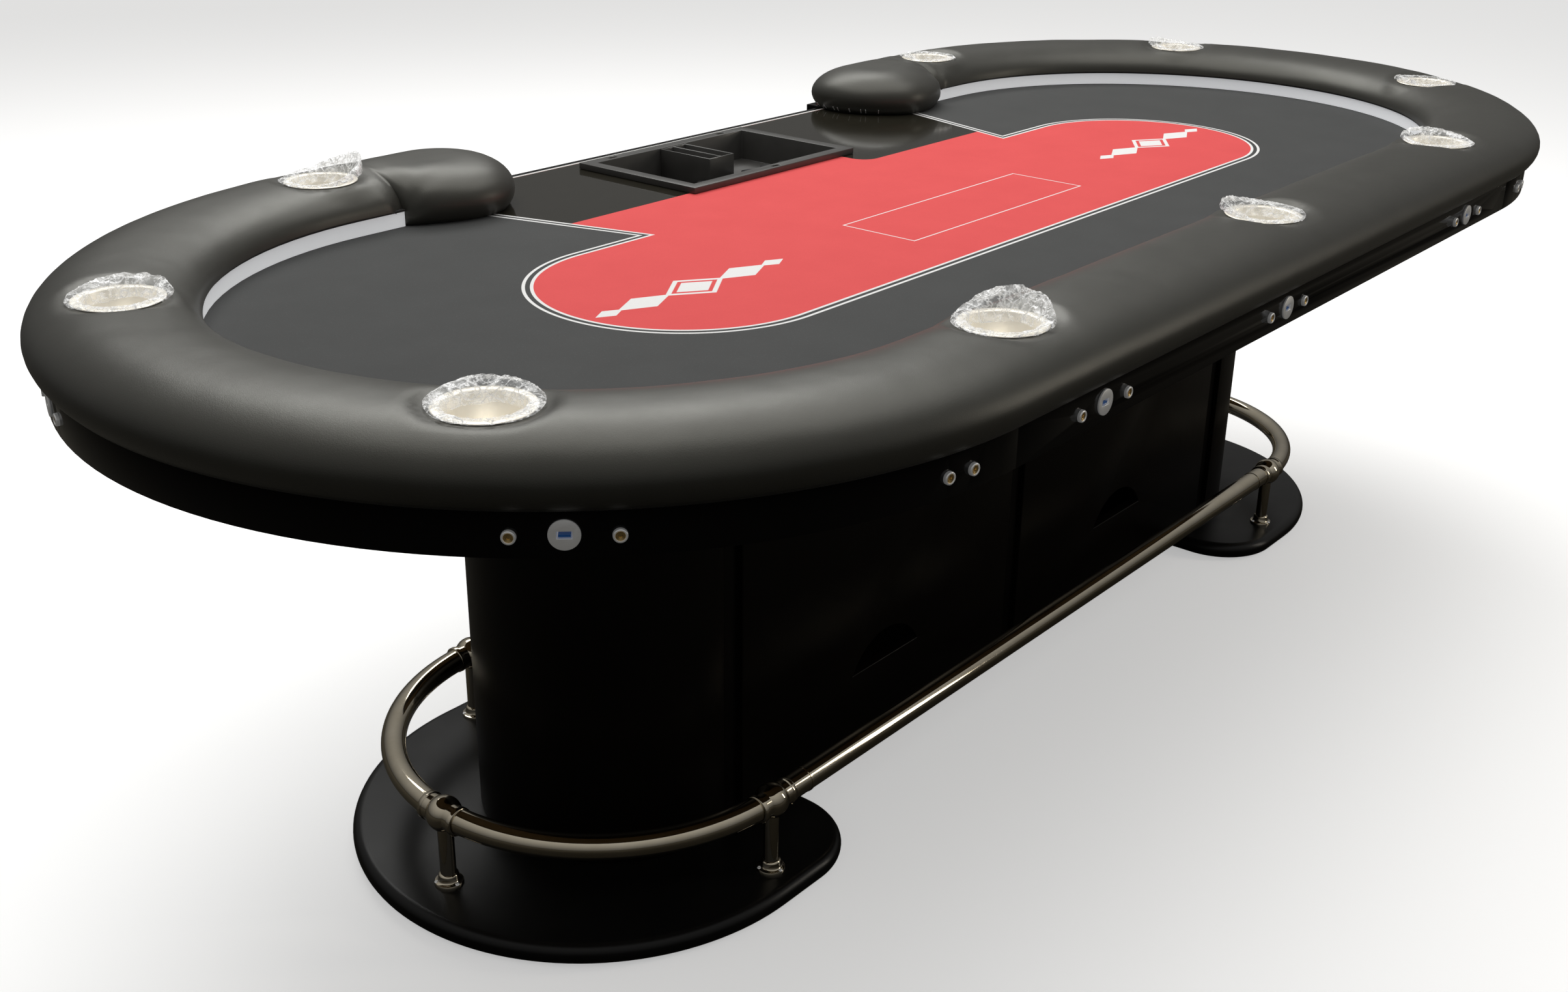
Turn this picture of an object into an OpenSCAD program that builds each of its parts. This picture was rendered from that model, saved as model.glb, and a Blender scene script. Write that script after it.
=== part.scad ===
// Card table with an oval padded rail, a dealer's place with a chip tray, drop-in cups,
// a panelled pedestal on two base plates and a polished foot rail.
// Origin on the floor under the middle of the oval. +X runs along the table, -Y is the
// players' long side and +Y the dealer's side.

/* [Table top] */
// Half length of the straight run between the rounded ends
half_run = 702; // [640:1:760]
// Radius of the apron at the rounded ends
end_r = 600; // [590:1:620]
// Height of the playing cloth above the floor
cloth_z = 710; // [690:1:730]
// Thickness of the top board
board_t = 18; // [15:1:18]
// Height of the apron below the cloth
apron_h = 45; // [42:1:60]
// Distance of the dealer's straight edge from the middle
dealer_y = 564; // [556:1:570]
// Half length of the dealer's straight edge
dealer_half = 450; // [440:1:470]

/* [Rail] */
// Radius of the rail's centre line at the rounded ends
rail_r = 524; // [520:1:528]
// Half width of the padded rail
rail_half_w = 92; // [88:1:95]
// Height of the padded rail's widest line above the cloth
rail_mid_h = 25; // [24:1:28]
// Rise of the rail's crown above its widest line
rail_rise = 47; // [44:1:50]
// Half width of the padded arm rests beside the dealer
arm_half_w = 116; // [112:1:118]
// Distance from the middle to the place where the arm rests begin
arm_x = 627; // [615:1:640]
// Distance from the middle to the tip of the arm rests
arm_tip_x = 400; // [395:1:410]

/* [Cups] */
// Radius of the line on which the cups stand, at the rounded ends
cup_line_r = 515; // [512:1:520]
// Outer radius of the cup's body
cup_r = 40; // [38:0.5:41]
// Radius of the cup's flange
cup_flange_r = 49; // [47:0.5:50]
// Depth of the cup
cup_depth = 60; // [55:1:60]
// Distance between neighbouring cups on the players' side
cup_pitch = 607; // [590:1:620]
// Angle of the end cups towards the players' side
cup_front_angle = 36; // [32:1:38]
// Angle of the end cups towards the dealer's side
cup_back_angle = 26; // [22:1:30]

/* [Chip tray] */
// Length of the tray's rim along the table
tray_w = 382; // [376:1:384]
// Width of the tray's rim across the table
tray_d = 246; // [240:1:248]
// Place of the tray's middle along the table
tray_x = -34; // [-40:1:-30]
// Place of the tray's middle across the table
tray_y = 394; // [392:1:396]
// Height of the tray's rim above the cloth
tray_rim_h = 10; // [8:0.5:12]

/* [Pedestal] */
// Half length of the pedestal between the centres of its rounded ends
ped_half = 682; // [676:1:690]
// Radius of the pedestal's rounded ends and half its depth
ped_r = 180; // [170:1:185]
// Thickness of the pedestal's panels
panel_t = 18; // [15:1:20]
// Width of the dark recessed strips between the panels
reveal_w = 34; // [30:1:36]
// Height of the panels' hand holes above the floor
hand_hole_z = 140; // [135:1:170]

/* [Base] */
// Thickness of the two base plates
plate_t = 28; // [25:1:30]
// Half width of the base plates
plate_half_w = 324; // [318:1:330]
// Distance of the base plates' inner edge from the middle
plate_in_x = 535; // [525:1:545]
// Distance of the base plates' outer end from the middle
plate_out_x = 1034; // [1026:1:1040]
// Thickness of the floor glides
glide_t = 3; // [2:0.5:5]

/* [Foot rail] */
// Diameter of the foot rail's tube
rail_tube_d = 32; // [30:1:34]
// Height of the foot rail's middle above the floor
foot_rail_z = 131; // [125:1:140]
// Radius of the foot rail's bends
foot_rail_r = 280; // [276:1:284]
// Diameter of the foot rail's posts
post_d = 20; // [17:1:22]

/* [Hidden] */
$fn = 96;
e = 0.3;
plate_top = glide_t + plate_t;
apron_z = cloth_z - apron_h;
apron_t = 12;
cloth_t = 1.5;
board_top = cloth_z - cloth_t;
board_z = board_top - board_t;
board_r = end_r - apron_t - e;
dealer_board_y = dealer_y - apron_t - e;
core_in_r = 443;
core_out_r = end_r - 2;
core_top = cloth_z + 24;
core_h = core_top - cloth_z;
rail_mid_z = cloth_z + rail_mid_h;
rail_top_z = rail_mid_z + rail_rise;
arm_foot_inset = 20;
arm_core_r = 58;
arm_y = rail_r + rail_half_w - arm_half_w;
arm_c = arm_tip_x + arm_half_w;
cup_rim_z = rail_top_z - 7;
cup_wall = 1.2;
cup_lip = 1.5;
tray_rim = 20;
tray_wall = 3;
tray_floor_z = apron_z + 3;
tray_rim_z = cloth_z + tray_rim_h;
tray_open_w = tray_w - 2 * tray_rim;
tray_open_d = tray_d - 2 * tray_rim;
coin_w = 58;
coin_d = 108;
frame_in_r = 548;
frame_z = apron_z + 3;
bolt_z = board_z - 4.5;
usb_z = bolt_z + 2;
usb_bezel_r = 14.5;
usb_body_r = 11.5;
usb_depth = 22;
bolt_head_r = 6.8;
bolt_gap = 48;
bolt_shank_r = 3;
bolt_l = 36;
// Distance of the apron's two front seams from the middle, and of their bolts from the seam
seam_x = 790;
seam_bolt_gap = 17;
tray_gap = 3;
past = 3;

// Where the cups stand
front_cups = [[-cup_pitch, -cup_line_r], [0, -cup_line_r], [cup_pitch, -cup_line_r]];
function end_point(side, angle, r) =
    [side * (half_run + r * cos(angle)), r * sin(angle)];
side_cups = [
    for (side = [-1, 1])
        for (angle = [-cup_front_angle, cup_back_angle])
            end_point(side, angle, cup_line_r)
];
back_cups = [[-half_run, cup_line_r], [half_run, cup_line_r]];
cups = concat(front_cups, side_cups, back_cups);

// Charging sockets in the apron: [x, y, the angle it faces]
function end_socket(side, angle) =
    let (p = end_point(side, angle, end_r))
    [p[0], p[1], side > 0 ? angle : 180 - angle];
sockets = concat(
    [for (x = [-534, -89, 534]) [x, -end_r, -90]],
    [for (side = [-1, 1]) for (angle = [-44, 20.6]) end_socket(side, angle)],
    [for (x = [-620, 620]) [x, end_r, 90]]
);

// A cross-section drawn as [distance from the table's axis, height], swept along the oval
module along_x(x0, x1, y_sign) {
    translate([x0, 0, 0])
        mirror([0, y_sign < 0 ? 1 : 0, 0])
            rotate([90, 0, 90])
                linear_extrude(x1 - x0)
                    children();
}

module around_end(side, from_angle = -90, to_angle = 90) {
    translate([side * half_run, 0, 0])
        rotate([0, 0, side > 0 ? from_angle : 180 - to_angle])
            rotate_extrude(angle = to_angle - from_angle, $fn = 180)
                children();
}

module band(r0, r1, z0, z1) {
    translate([r0, z0])
        square([r1 - r0, z1 - z0]);
}

// The oval outline, and the same with the dealer's edge cut straight
module oval(r) {
    union() {
        for (side = [-1, 1])
            translate([side * half_run, 0])
                circle(r, $fn = 180);
        square([2 * half_run, 2 * r], center = true);
    }
}

module top_outline(r, back_y) {
    difference() {
        oval(r);
        translate([-dealer_half - (board_r - r), back_y])
            square([2 * (dealer_half + board_r - r), r]);
    }
}

module at_socket(s, z) {
    translate([s[0], s[1], z])
        rotate([0, 0, s[2]])
            rotate([0, 90, 0])
                children();
}

module socket_pockets(r) {
    for (s = sockets)
        at_socket(s, usb_z)
            translate([0, 0, -usb_depth - past])
                cylinder(r = r, h = usb_depth + past + e);
}

module bolt_places() {
    for (s = sockets)
        for (k = [-1, 1])
            if (abs(s[1]) == end_r)
                translate([k * bolt_gap, 0, 0])
                    at_socket(s, bolt_z)
                        children();
            else
                translate([sign(s[0]) * half_run, 0, 0])
                    rotate([0, 0, k * bolt_gap / end_r * 180 / PI])
                        translate([-sign(s[0]) * half_run, 0, 0])
                            at_socket(s, bolt_z)
                                children();
    for (side = [-1, 1])
        for (k = [-1, 1])
            translate([side * half_run, 0, 0])
                rotate([0, 0, -90 + side * (seam_x - half_run + k * seam_bolt_gap) / end_r * 180 / PI])
                    translate([end_r, 0, bolt_z])
                        rotate([0, 90, 0])
                            children();
}

// ---- base -----------------------------------------------------------------------------------
plate_corner_r = 104;
plate_arc_x = plate_out_x - plate_half_w;

module plate_outline() {
    corner_x = -plate_in_x - plate_corner_r;
    corner_y = plate_half_w - plate_corner_r;
    union() {
        intersection() {
            translate([-plate_arc_x, 0])
                circle(plate_half_w, $fn = 180);
            translate([-plate_arc_x - plate_half_w, -plate_half_w])
                square([plate_half_w, 2 * plate_half_w]);
        }
        for (k = [-1, 1])
            translate([corner_x, k * corner_y])
                circle(plate_corner_r);
        translate([-plate_arc_x, -plate_half_w])
            square([corner_x + plate_arc_x, 2 * plate_half_w]);
        translate([corner_x, -corner_y])
            square([plate_corner_r, 2 * corner_y]);
    }
}

module base_plate(side) {
    color("#1b1a1a")
        mirror([side > 0 ? 1 : 0, 0, 0])
            translate([0, 0, glide_t])
                linear_extrude(plate_t)
                    plate_outline();
}

glide_d = 30;
glide_places = [[600, -230], [600, 230], [780, -250], [780, 250], [960, 0]];

module floor_glides() {
    color("#2b2b2b")
        for (side = [-1, 1])
            for (p = glide_places)
                translate([side * p[0], p[1], 0])
                    cylinder(d = glide_d, h = glide_t);
}

// ---- pedestal ---------------------------------------------------------------------------------
bulkhead_x = 647;
bulkhead_inset = 8;
ped_h = apron_z - plate_top;

module u_shape(r, x0) {
    union() {
        intersection() {
            translate([ped_half, 0])
                circle(r, $fn = 180);
            translate([ped_half, -r])
                square([r, 2 * r]);
        }
        translate([x0, -r])
            square([ped_half - x0, 2 * r]);
    }
}

module pedestal_end(side) {
    x0 = bulkhead_x + reveal_w / 2 + e;
    color("#241f1c")
        mirror([side < 0 ? 1 : 0, 0, 0])
            translate([0, 0, plate_top])
                linear_extrude(ped_h)
                    difference() {
                        u_shape(ped_r, x0);
                        u_shape(ped_r - panel_t, x0 - past);
                    }
}

module bulkheads() {
    color("#151212")
        for (k = [-1, 0, 1])
            translate([k * bulkhead_x - reveal_w / 2, -ped_r + bulkhead_inset, plate_top])
                cube([reveal_w, 2 * (ped_r - bulkhead_inset), ped_h]);
}

hand_hole_w = 150;
hand_hole_h = 46;
inlet_x = 560;
inlet_z = 90;
inlet_w = 28;
inlet_h = 20;
inlet_l = 40;
inlet_wall = 2;
inlet_face = [50, 3, 28];
inlet_mouth_l = 18;

module hand_hole() {
    r = (hand_hole_w * hand_hole_w / 4 + hand_hole_h * hand_hole_h) / (2 * hand_hole_h);
    intersection() {
        translate([0, hand_hole_h - r])
            circle(r);
        translate([-hand_hole_w / 2, 0])
            square([hand_hole_w, hand_hole_h + 1]);
    }
}

module pedestal_panel(side, y_sign) {
    x0 = reveal_w / 2 + e;
    x1 = bulkhead_x - reveal_w / 2 - e;
    color("#241f1c")
        mirror([side < 0 ? 1 : 0, 0, 0])
            translate([0, y_sign > 0 ? ped_r : -ped_r + panel_t, 0])
                rotate([90, 0, 0])
                    linear_extrude(panel_t)
                        difference() {
                            translate([x0, plate_top + e])
                                square([x1 - x0, ped_h - 2 * e]);
                            translate([(x0 + x1) / 2, hand_hole_z])
                                hand_hole();
                            if (side > 0 && y_sign > 0)
                                translate([inlet_x - inlet_w / 2, inlet_z - inlet_h / 2])
                                    square([inlet_w, inlet_h]);
                        }
}

cleat = [500, 30, 40];
cleat_x = 340;
cleat_y = ped_r - panel_t - cleat[1] / 2 - 1;

module pedestal_cleats() {
    color("#b58d5c")
        for (side = [-1, 1])
            for (k = [-1, 1])
                translate([side * cleat_x - cleat[0] / 2, k * cleat_y - cleat[1] / 2, apron_z - cleat[2]])
                    cube(cleat);
}

// The shelf beside the middle bulkhead, and on it the supply and its terminal block
shelf = [300, 130, 20];
shelf_place = [reveal_w / 2, -60, 180];
supply = [180, 90, 45];
supply_place = [60, -60, shelf_place[2] + shelf[2]];
terminals = [140, 40, 30];
terminals_place = [supply_place[0] + 20, supply_place[1] + supply[1], supply_place[2] + 5];

module power_supply() {
    color("#777777") {
        translate(supply_place)
            cube(supply);
        translate(terminals_place)
            cube(terminals);
        translate(shelf_place)
            cube(shelf);
    }
}

module mains_inlet() {
    color("#101010")
        translate([inlet_x, ped_r, inlet_z])
            difference() {
                union() {
                    translate([-inlet_w / 2, -inlet_l, -inlet_h / 2])
                        cube([inlet_w, inlet_l, inlet_h]);
                    translate([-inlet_face[0] / 2, 0, -inlet_face[2] / 2])
                        cube(inlet_face);
                }
                translate([inlet_wall - inlet_w / 2, -inlet_mouth_l, inlet_wall - inlet_h / 2])
                    cube([inlet_w - 2 * inlet_wall, inlet_l, inlet_h - 2 * inlet_wall]);
            }
}

loom_r = 534;
loom_d = 8;
loom_z = board_z - 6;

module wire_loom() {
    color("#202020") {
        for (y = [-1, 1])
            translate([-half_run, y * loom_r, loom_z])
                rotate([0, 90, 0])
                    cylinder(d = loom_d, h = y < 0 ? 2 * half_run : half_run - dealer_half);
        translate([dealer_half, loom_r, loom_z])
            rotate([0, 90, 0])
                cylinder(d = loom_d, h = half_run - dealer_half);
        for (side = [-1, 1])
            around_end(side)
                translate([loom_r, loom_z])
                    circle(d = loom_d, $fn = 24);
    }
}

// ---- top ------------------------------------------------------------------------------------
batten_w = 90;
batten_y = 500;
// The middle batten ends before the chip tray
middle_batten_l = 730;

module top_batten(x, l) {
    translate([x - batten_w / 2, -batten_y, apron_z])
        cube([batten_w, l, board_z - apron_z]);
}

module top_battens() {
    color("#b58d5c") {
        for (side = [-1, 1])
            top_batten(side * bulkhead_x, 2 * batten_y);
        top_batten(0, middle_batten_l);
    }
}

frame_reach = 20;

module frame_holes() {
    socket_pockets(usb_body_r + 1);
    bolt_places()
        translate([0, 0, -bolt_l - 4])
            cylinder(r = bolt_shank_r, h = bolt_l + 4);
}

module frame_profile() {
    band(frame_in_r, board_r, frame_z, board_z);
}

module rim_frame_end(side) {
    color("#b58d5c")
        difference() {
            union() {
                around_end(side)
                    frame_profile();
                along_x(
                    side > 0 ? dealer_half + frame_reach : -half_run,
                    side > 0 ? half_run : -dealer_half - frame_reach, 1
                )
                    frame_profile();
            }
            frame_holes();
        }
}

module rim_frame_front() {
    color("#b58d5c")
        difference() {
            along_x(-half_run, half_run, -1)
                frame_profile();
            frame_holes();
        }
}

module tray_hole(grow) {
    w = tray_open_w + 2 * tray_wall + 2 * grow;
    d = tray_open_d + 2 * tray_wall + 2 * grow;
    translate([tray_x - w / 2, tray_y - d / 2])
        square([w, d]);
}

module top_board() {
    color("#c49a66")
        difference() {
            translate([0, 0, board_z])
                linear_extrude(board_t)
                    difference() {
                        top_outline(board_r, dealer_board_y);
                        tray_hole(tray_gap);
                    }
            socket_pockets(usb_body_r + 1);
        }
}

// The line that parts the players' cloth from the dealer's gloss panels, at the given y
parting_start = [444, 160];
parting_slope = 0.29;
function parting_x(y) = parting_start[0] + (y - parting_start[1]) * parting_slope;
panel_left_y = 282;
panel_right_y = 222;
panel_back_y = dealer_y - 18;
panel_corner_r = 30;
panel_lap = 30;

module gloss_outline_left() {
    difference() {
        polygon([
            [-parting_x(panel_left_y), panel_left_y], [tray_x, panel_left_y],
            [tray_x, panel_back_y], [-parting_x(panel_back_y), panel_back_y]
        ]);
        tray_hole(tray_gap);
        translate([tray_x - tray_w / 2 + panel_lap, 0])
            square([tray_w, tray_y]);
        translate([tray_x, 0])
            square([tray_w, end_r]);
    }
}

module gloss_outline_right() {
    x0 = tray_x + tray_w / 2 - panel_lap;
    y1 = tray_y + tray_d / 2 - 40;
    difference() {
        union() {
            polygon([
                [x0 + panel_corner_r, panel_right_y], [parting_x(panel_right_y), panel_right_y],
                [parting_x(panel_back_y), panel_back_y], [x0, panel_back_y],
                [x0, panel_right_y + panel_corner_r], [x0 + panel_corner_r, panel_right_y + panel_corner_r]
            ]);
            translate([x0 + panel_corner_r, panel_right_y + panel_corner_r])
                circle(panel_corner_r);
            translate([tray_x, y1])
                square([x0 - tray_x + 5, panel_back_y - y1]);
        }
        tray_hole(tray_gap);
    }
}

module gloss_panel_left() {
    color("#0b0b0c")
        translate([0, 0, board_top])
            linear_extrude(cloth_t)
                gloss_outline_left();
}

module gloss_panel_right() {
    color("#0b0b0c")
        translate([0, 0, board_top])
            linear_extrude(cloth_t)
                gloss_outline_right();
}

module playing_cloth() {
    color("#3a3c40")
        translate([0, 0, board_top])
            linear_extrude(cloth_t)
                difference() {
                    top_outline(board_r - 1, panel_back_y + e);
                    tray_hole(tray_gap);
                    gloss_outline_left();
                    gloss_outline_right();
                }
}

edge_strip_w = 5;

module dealer_edge_strip() {
    color("#e8e8e4")
        translate([-dealer_half + 1, panel_back_y + e, board_top])
            cube([2 * dealer_half - 2, edge_strip_w, cloth_t]);
}

// ---- apron ------------------------------------------------------------------------------------
module apron_profile() {
    band(end_r - apron_t, end_r, apron_z, cloth_z - e);
}

module apron_cuts() {
    socket_pockets(usb_body_r);
    bolt_places()
        translate([0, 0, -apron_t - past])
            cylinder(r = bolt_shank_r, h = apron_t + 2 * past);
}

module apron_front() {
    color("#0c0b0c")
        difference() {
            along_x(-half_run, half_run, -1)
                apron_profile();
            apron_cuts();
        }
}

module apron_end(side) {
    color("#0c0b0c")
        difference() {
            union() {
                around_end(side)
                    apron_profile();
                along_x(side > 0 ? dealer_half : -half_run, side > 0 ? half_run : -dealer_half, 1)
                    apron_profile();
            }
            apron_cuts();
        }
}

module apron_dealer() {
    color("#0c0b0c")
        union() {
            translate([-dealer_half + e, dealer_y - apron_t, apron_z])
                cube([2 * dealer_half - 2 * e, apron_t, cloth_z - e - apron_z]);
            for (side = [-1, 1])
                translate([side * (dealer_half - apron_t / 2 - e) - apron_t / 2, dealer_y - apron_t, apron_z])
                    cube([apron_t, end_r - dealer_y + apron_t, cloth_z - e - apron_z]);
        }
}

// ---- apron fittings -----------------------------------------------------------------------------
bolt_head_t = 2.5;
bolt_ease = 1.5;
bolt_key_d = 4.6;

module connector_bolts() {
    color("#c9b98a")
        bolt_places()
            difference() {
                union() {
                    cylinder(r = bolt_head_r, h = bolt_head_t);
                    translate([0, 0, bolt_head_t])
                        cylinder(r1 = bolt_head_r, r2 = bolt_head_r - bolt_ease, h = bolt_ease);
                    translate([0, 0, -bolt_l])
                        cylinder(r = bolt_shank_r, h = bolt_l + 1);
                }
                translate([0, 0, 1])
                    cylinder(d = bolt_key_d, h = bolt_head_t + bolt_ease, $fn = 6);
            }
}

usb_bezel_t = 2;
usb_port = [7, 14];
usb_port_l = 14;
usb_tongue = [2, 11, usb_port_l];

module usb_sockets() {
    color("#c8c8c8")
        for (s = sockets)
            at_socket(s, usb_z)
                difference() {
                    union() {
                        cylinder(r = usb_bezel_r, h = usb_bezel_t);
                        translate([0, 0, -usb_depth])
                            cylinder(r = usb_body_r, h = usb_depth + 1);
                    }
                    translate([-usb_port[0] / 2, -usb_port[1] / 2, -usb_port_l])
                        cube([usb_port[0], usb_port[1], usb_depth]);
                }
}

module usb_tongues() {
    color("#1d66b8")
        for (s = sockets)
            at_socket(s, usb_z)
                translate([0.5, -usb_tongue[1] / 2, -usb_port_l])
                    cube(usb_tongue);
}

// ---- padded rail ----------------------------------------------------------------------------------
function crown(c, flat) = [
    for (t = [180:-12:0])
        [c + (t > 90 ? -flat : flat) + rail_half_w * cos(t), rail_mid_z + rail_rise * sin(t)]
];
function under(c, flat) = [
    for (t = [-10:-10:-30])
        [c + flat + rail_half_w * cos(t), rail_mid_z + rail_rise * sin(t)]
];
foot_z = cloth_z + e;

module pad_profile() {
    polygon(concat(
        crown(rail_r, 0), under(rail_r, 0),
        [[core_out_r + e, foot_z], [core_out_r + e, core_top + e], [rail_r - rail_half_w + 3, core_top + e]]
    ));
}

arm_flat = arm_half_w - rail_half_w;

module arm_profile() {
    inner = [
        for (t = [-10:-10:-30])
            [arm_y - arm_flat - rail_half_w * cos(t), rail_mid_z + rail_rise * sin(t)]
    ];
    polygon(concat(
        crown(arm_y, arm_flat), under(arm_y, arm_flat),
        [
            [arm_y + arm_half_w - arm_foot_inset + e, foot_z],
            [arm_y - arm_half_w + arm_foot_inset - e, foot_z]
        ],
        [for (k = [2:-1:0]) inner[k]]
    ));
}

module arm_end_profile() {
    polygon(concat(
        [[0, rail_top_z]],
        [for (t = [90:-12:6]) [arm_flat + rail_half_w * cos(t), rail_mid_z + rail_rise * sin(t)]],
        [for (t = [0:-10:-30]) [arm_flat + rail_half_w * cos(t), rail_mid_z + rail_rise * sin(t)]],
        [[arm_half_w - arm_foot_inset + e, foot_z], [0, foot_z]]
    ));
}

module arm_core(side, grow) {
    r = arm_core_r + grow;
    translate([0, 0, cloth_z - grow])
        linear_extrude(core_h + 2 * grow)
            union() {
                translate([side * arm_c, arm_y])
                    circle(r);
                translate([side > 0 ? arm_c : -arm_x, arm_y - r])
                    square([arm_x - arm_c, 2 * r]);
            }
}

module cup_holes(r, flange_r) {
    for (c = cups)
        translate([c[0], c[1], 0]) {
            translate([0, 0, cloth_z - 1])
                cylinder(r = r, h = rail_top_z - cloth_z + past);
            translate([0, 0, cup_rim_z - cup_lip - e])
                cylinder(r = flange_r, h = rail_top_z - cup_rim_z + 2 * past);
        }
}

module rail_pad_front() {
    color("#34322f")
        difference() {
            along_x(-half_run, half_run, -1)
                pad_profile();
            cup_holes(cup_r + 2, cup_flange_r + 1.5);
        }
}

module rail_pad_end(side) {
    color("#34322f")
        difference() {
            union() {
                around_end(side)
                    pad_profile();
                along_x(side > 0 ? arm_x : -half_run, side > 0 ? half_run : -arm_x, 1)
                    pad_profile();
                along_x(side > 0 ? arm_c : -arm_x, side > 0 ? arm_x : -arm_c, 1)
                    arm_profile();
                translate([side * arm_c, arm_y, 0])
                    rotate([0, 0, side > 0 ? 90 : -90])
                        rotate_extrude(angle = 180)
                            arm_end_profile();
            }
            arm_core(side, e);
            cup_holes(cup_r + 2, cup_flange_r + 1.5);
        }
}

module core_profile() {
    band(core_in_r, core_out_r, cloth_z, core_top);
}

module rail_core_front() {
    color("#c49a66")
        difference() {
            along_x(-half_run, half_run, -1)
                core_profile();
            cup_holes(cup_r + 2, cup_flange_r + 1.5);
        }
}

module rail_core_end(side) {
    color("#c49a66")
        difference() {
            union() {
                around_end(side)
                    core_profile();
                along_x(side > 0 ? arm_x : -half_run, side > 0 ? half_run : -arm_x, 1)
                    core_profile();
                arm_core(side, 0);
            }
            cup_holes(cup_r + 2, cup_flange_r + 1.5);
        }
}

module round_the_rail() {
    along_x(-half_run, half_run, -1)
        children();
    for (side = [-1, 1]) {
        around_end(side)
            children();
        along_x(side > 0 ? arm_x : -half_run, side > 0 ? half_run : -arm_x, 1)
            children();
    }
}

band_r = 437;
band_t = 3;
band_top = cloth_z + 21;
tape_t = 1.3;
tape_z = cloth_z + 5;
tape_h = 10;

module light_band() {
    color("#f2f2f0")
        round_the_rail()
            band(band_r, band_r + band_t, cloth_z + e, band_top);
}

module light_tape() {
    color("#e8e4c8")
        round_the_rail()
            band(core_in_r - e - tape_t, core_in_r - e, tape_z, tape_z + tape_h);
}

module rail_lip_trim() {
    color("#141414")
        round_the_rail()
            band(band_r - 2, core_in_r - e, band_top + e, core_top);
}

// ---- cups -----------------------------------------------------------------------------------------
cup_bend = 3;

module cup(i) {
    floor_z = cup_rim_z - cup_depth;
    in_r = cup_r - cup_wall;
    color("#cfcabd")
        translate([cups[i][0], cups[i][1], 0])
            rotate_extrude()
                polygon([
                    [0, floor_z], [cup_r - cup_bend, floor_z], [cup_r, floor_z + cup_bend],
                    [cup_r, cup_rim_z - cup_lip], [cup_flange_r, cup_rim_z - cup_lip],
                    [cup_flange_r, cup_rim_z], [in_r, cup_rim_z],
                    [in_r, floor_z + cup_bend + cup_wall], [in_r - cup_bend, floor_z + cup_wall],
                    [0, floor_z + cup_wall]
                ]);
}

// ---- chip tray ------------------------------------------------------------------------------------
module tray_block(w, d, z0, z1) {
    translate([tray_x - w / 2, tray_y - d / 2, z0])
        cube([w, d, z1 - z0]);
}

// Slots for the lid's locks in the tray's rim: place along it, and which long side
lock_slots = [[-127, 1], [127, 1], [5, -1]];
slot_size = [18, 7, 6];
slot_deep = 5;

module chip_tray() {
    color("#26272a")
        difference() {
            union() {
                tray_block(tray_w, tray_d, cloth_z + e, tray_rim_z);
                tray_block(
                    tray_open_w + 2 * tray_wall, tray_open_d + 2 * tray_wall,
                    tray_floor_z, cloth_z + 2
                );
            }
            tray_block(tray_open_w, tray_open_d, tray_floor_z + tray_wall, tray_rim_z + 1);
            for (p = lock_slots)
                translate([
                    tray_x + p[0] - slot_size[0] / 2,
                    tray_y + p[1] * (tray_d - tray_rim) / 2 - slot_size[1] / 2, tray_rim_z - slot_deep
                ])
                    cube(slot_size);
        }
}

coin_x0 = tray_x - coin_w / 2;
coin_y0 = tray_y + tray_open_d / 2 - coin_d;
coin_wall = 2.5;

module coin_box() {
    cell = (coin_w - 3 * coin_wall) / 2;
    color("#26272a")
        difference() {
            translate([coin_x0, coin_y0 - e, tray_floor_z + tray_wall])
                cube([coin_w, coin_d, tray_rim_z - tray_floor_z - tray_wall - 1]);
            for (k = [0, 1])
                translate([
                    coin_x0 + coin_wall + k * (cell + coin_wall),
                    coin_y0 + coin_wall, tray_floor_z + tray_wall + 6
                ])
                    cube([cell, coin_d - 2 * coin_wall - e, tray_rim_z - tray_floor_z]);
        }
}

rack_groove_r = 20.5;
rack_d = 118;
rack_low = 6;
rack_high = 30;

module chip_rack(side) {
    x0 = side < 0 ? tray_x - tray_open_w / 2 + e : tray_x + coin_w / 2 + e;
    w = (tray_open_w - coin_w) / 2 - 2 * e;
    y0 = tray_y - tray_open_d / 2 + e;
    pitch = w / 3;
    color("#1d1e20")
        difference() {
            translate([x0, y0, tray_floor_z + tray_wall])
                rotate([90, 0, 90])
                    linear_extrude(w)
                        polygon([[0, 0], [rack_d, 0], [rack_d, rack_low + 4], [0, rack_high + 4]]);
            for (k = [0:2])
                translate([x0 + pitch * (k + 0.5), y0, tray_floor_z + tray_wall + rack_high + 14])
                    rotate([-90 - atan((rack_high - rack_low) / rack_d), 0, 0])
                        translate([0, 0, -20])
                            cylinder(r = rack_groove_r, h = rack_d + 60);
        }
}

// ---- foot rail --------------------------------------------------------------------------------------
foot_rail_half = 690;
foot_ball_r = 23;
post_in_ball = 12;
flange_d = 36;
flange_t = 4;
boss_d = post_d + 5;
boss_h = 14;
collar_x = 628;
collar_w = 3;
collar_t = 0.8;
post_points = [
    [foot_rail_half, -foot_rail_r], [foot_rail_half, foot_rail_r], [foot_rail_half + foot_rail_r, 0]
];

module foot_rail_straight(y_sign) {
    color("#c9bfae")
        difference() {
            translate([-foot_rail_half, y_sign * foot_rail_r, foot_rail_z])
                rotate([0, 90, 0])
                    cylinder(d = rail_tube_d, h = 2 * foot_rail_half);
            for (x = [-foot_rail_half, foot_rail_half])
                translate([x, y_sign * foot_rail_r, foot_rail_z])
                    sphere(r = foot_ball_r + e);
        }
}

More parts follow.
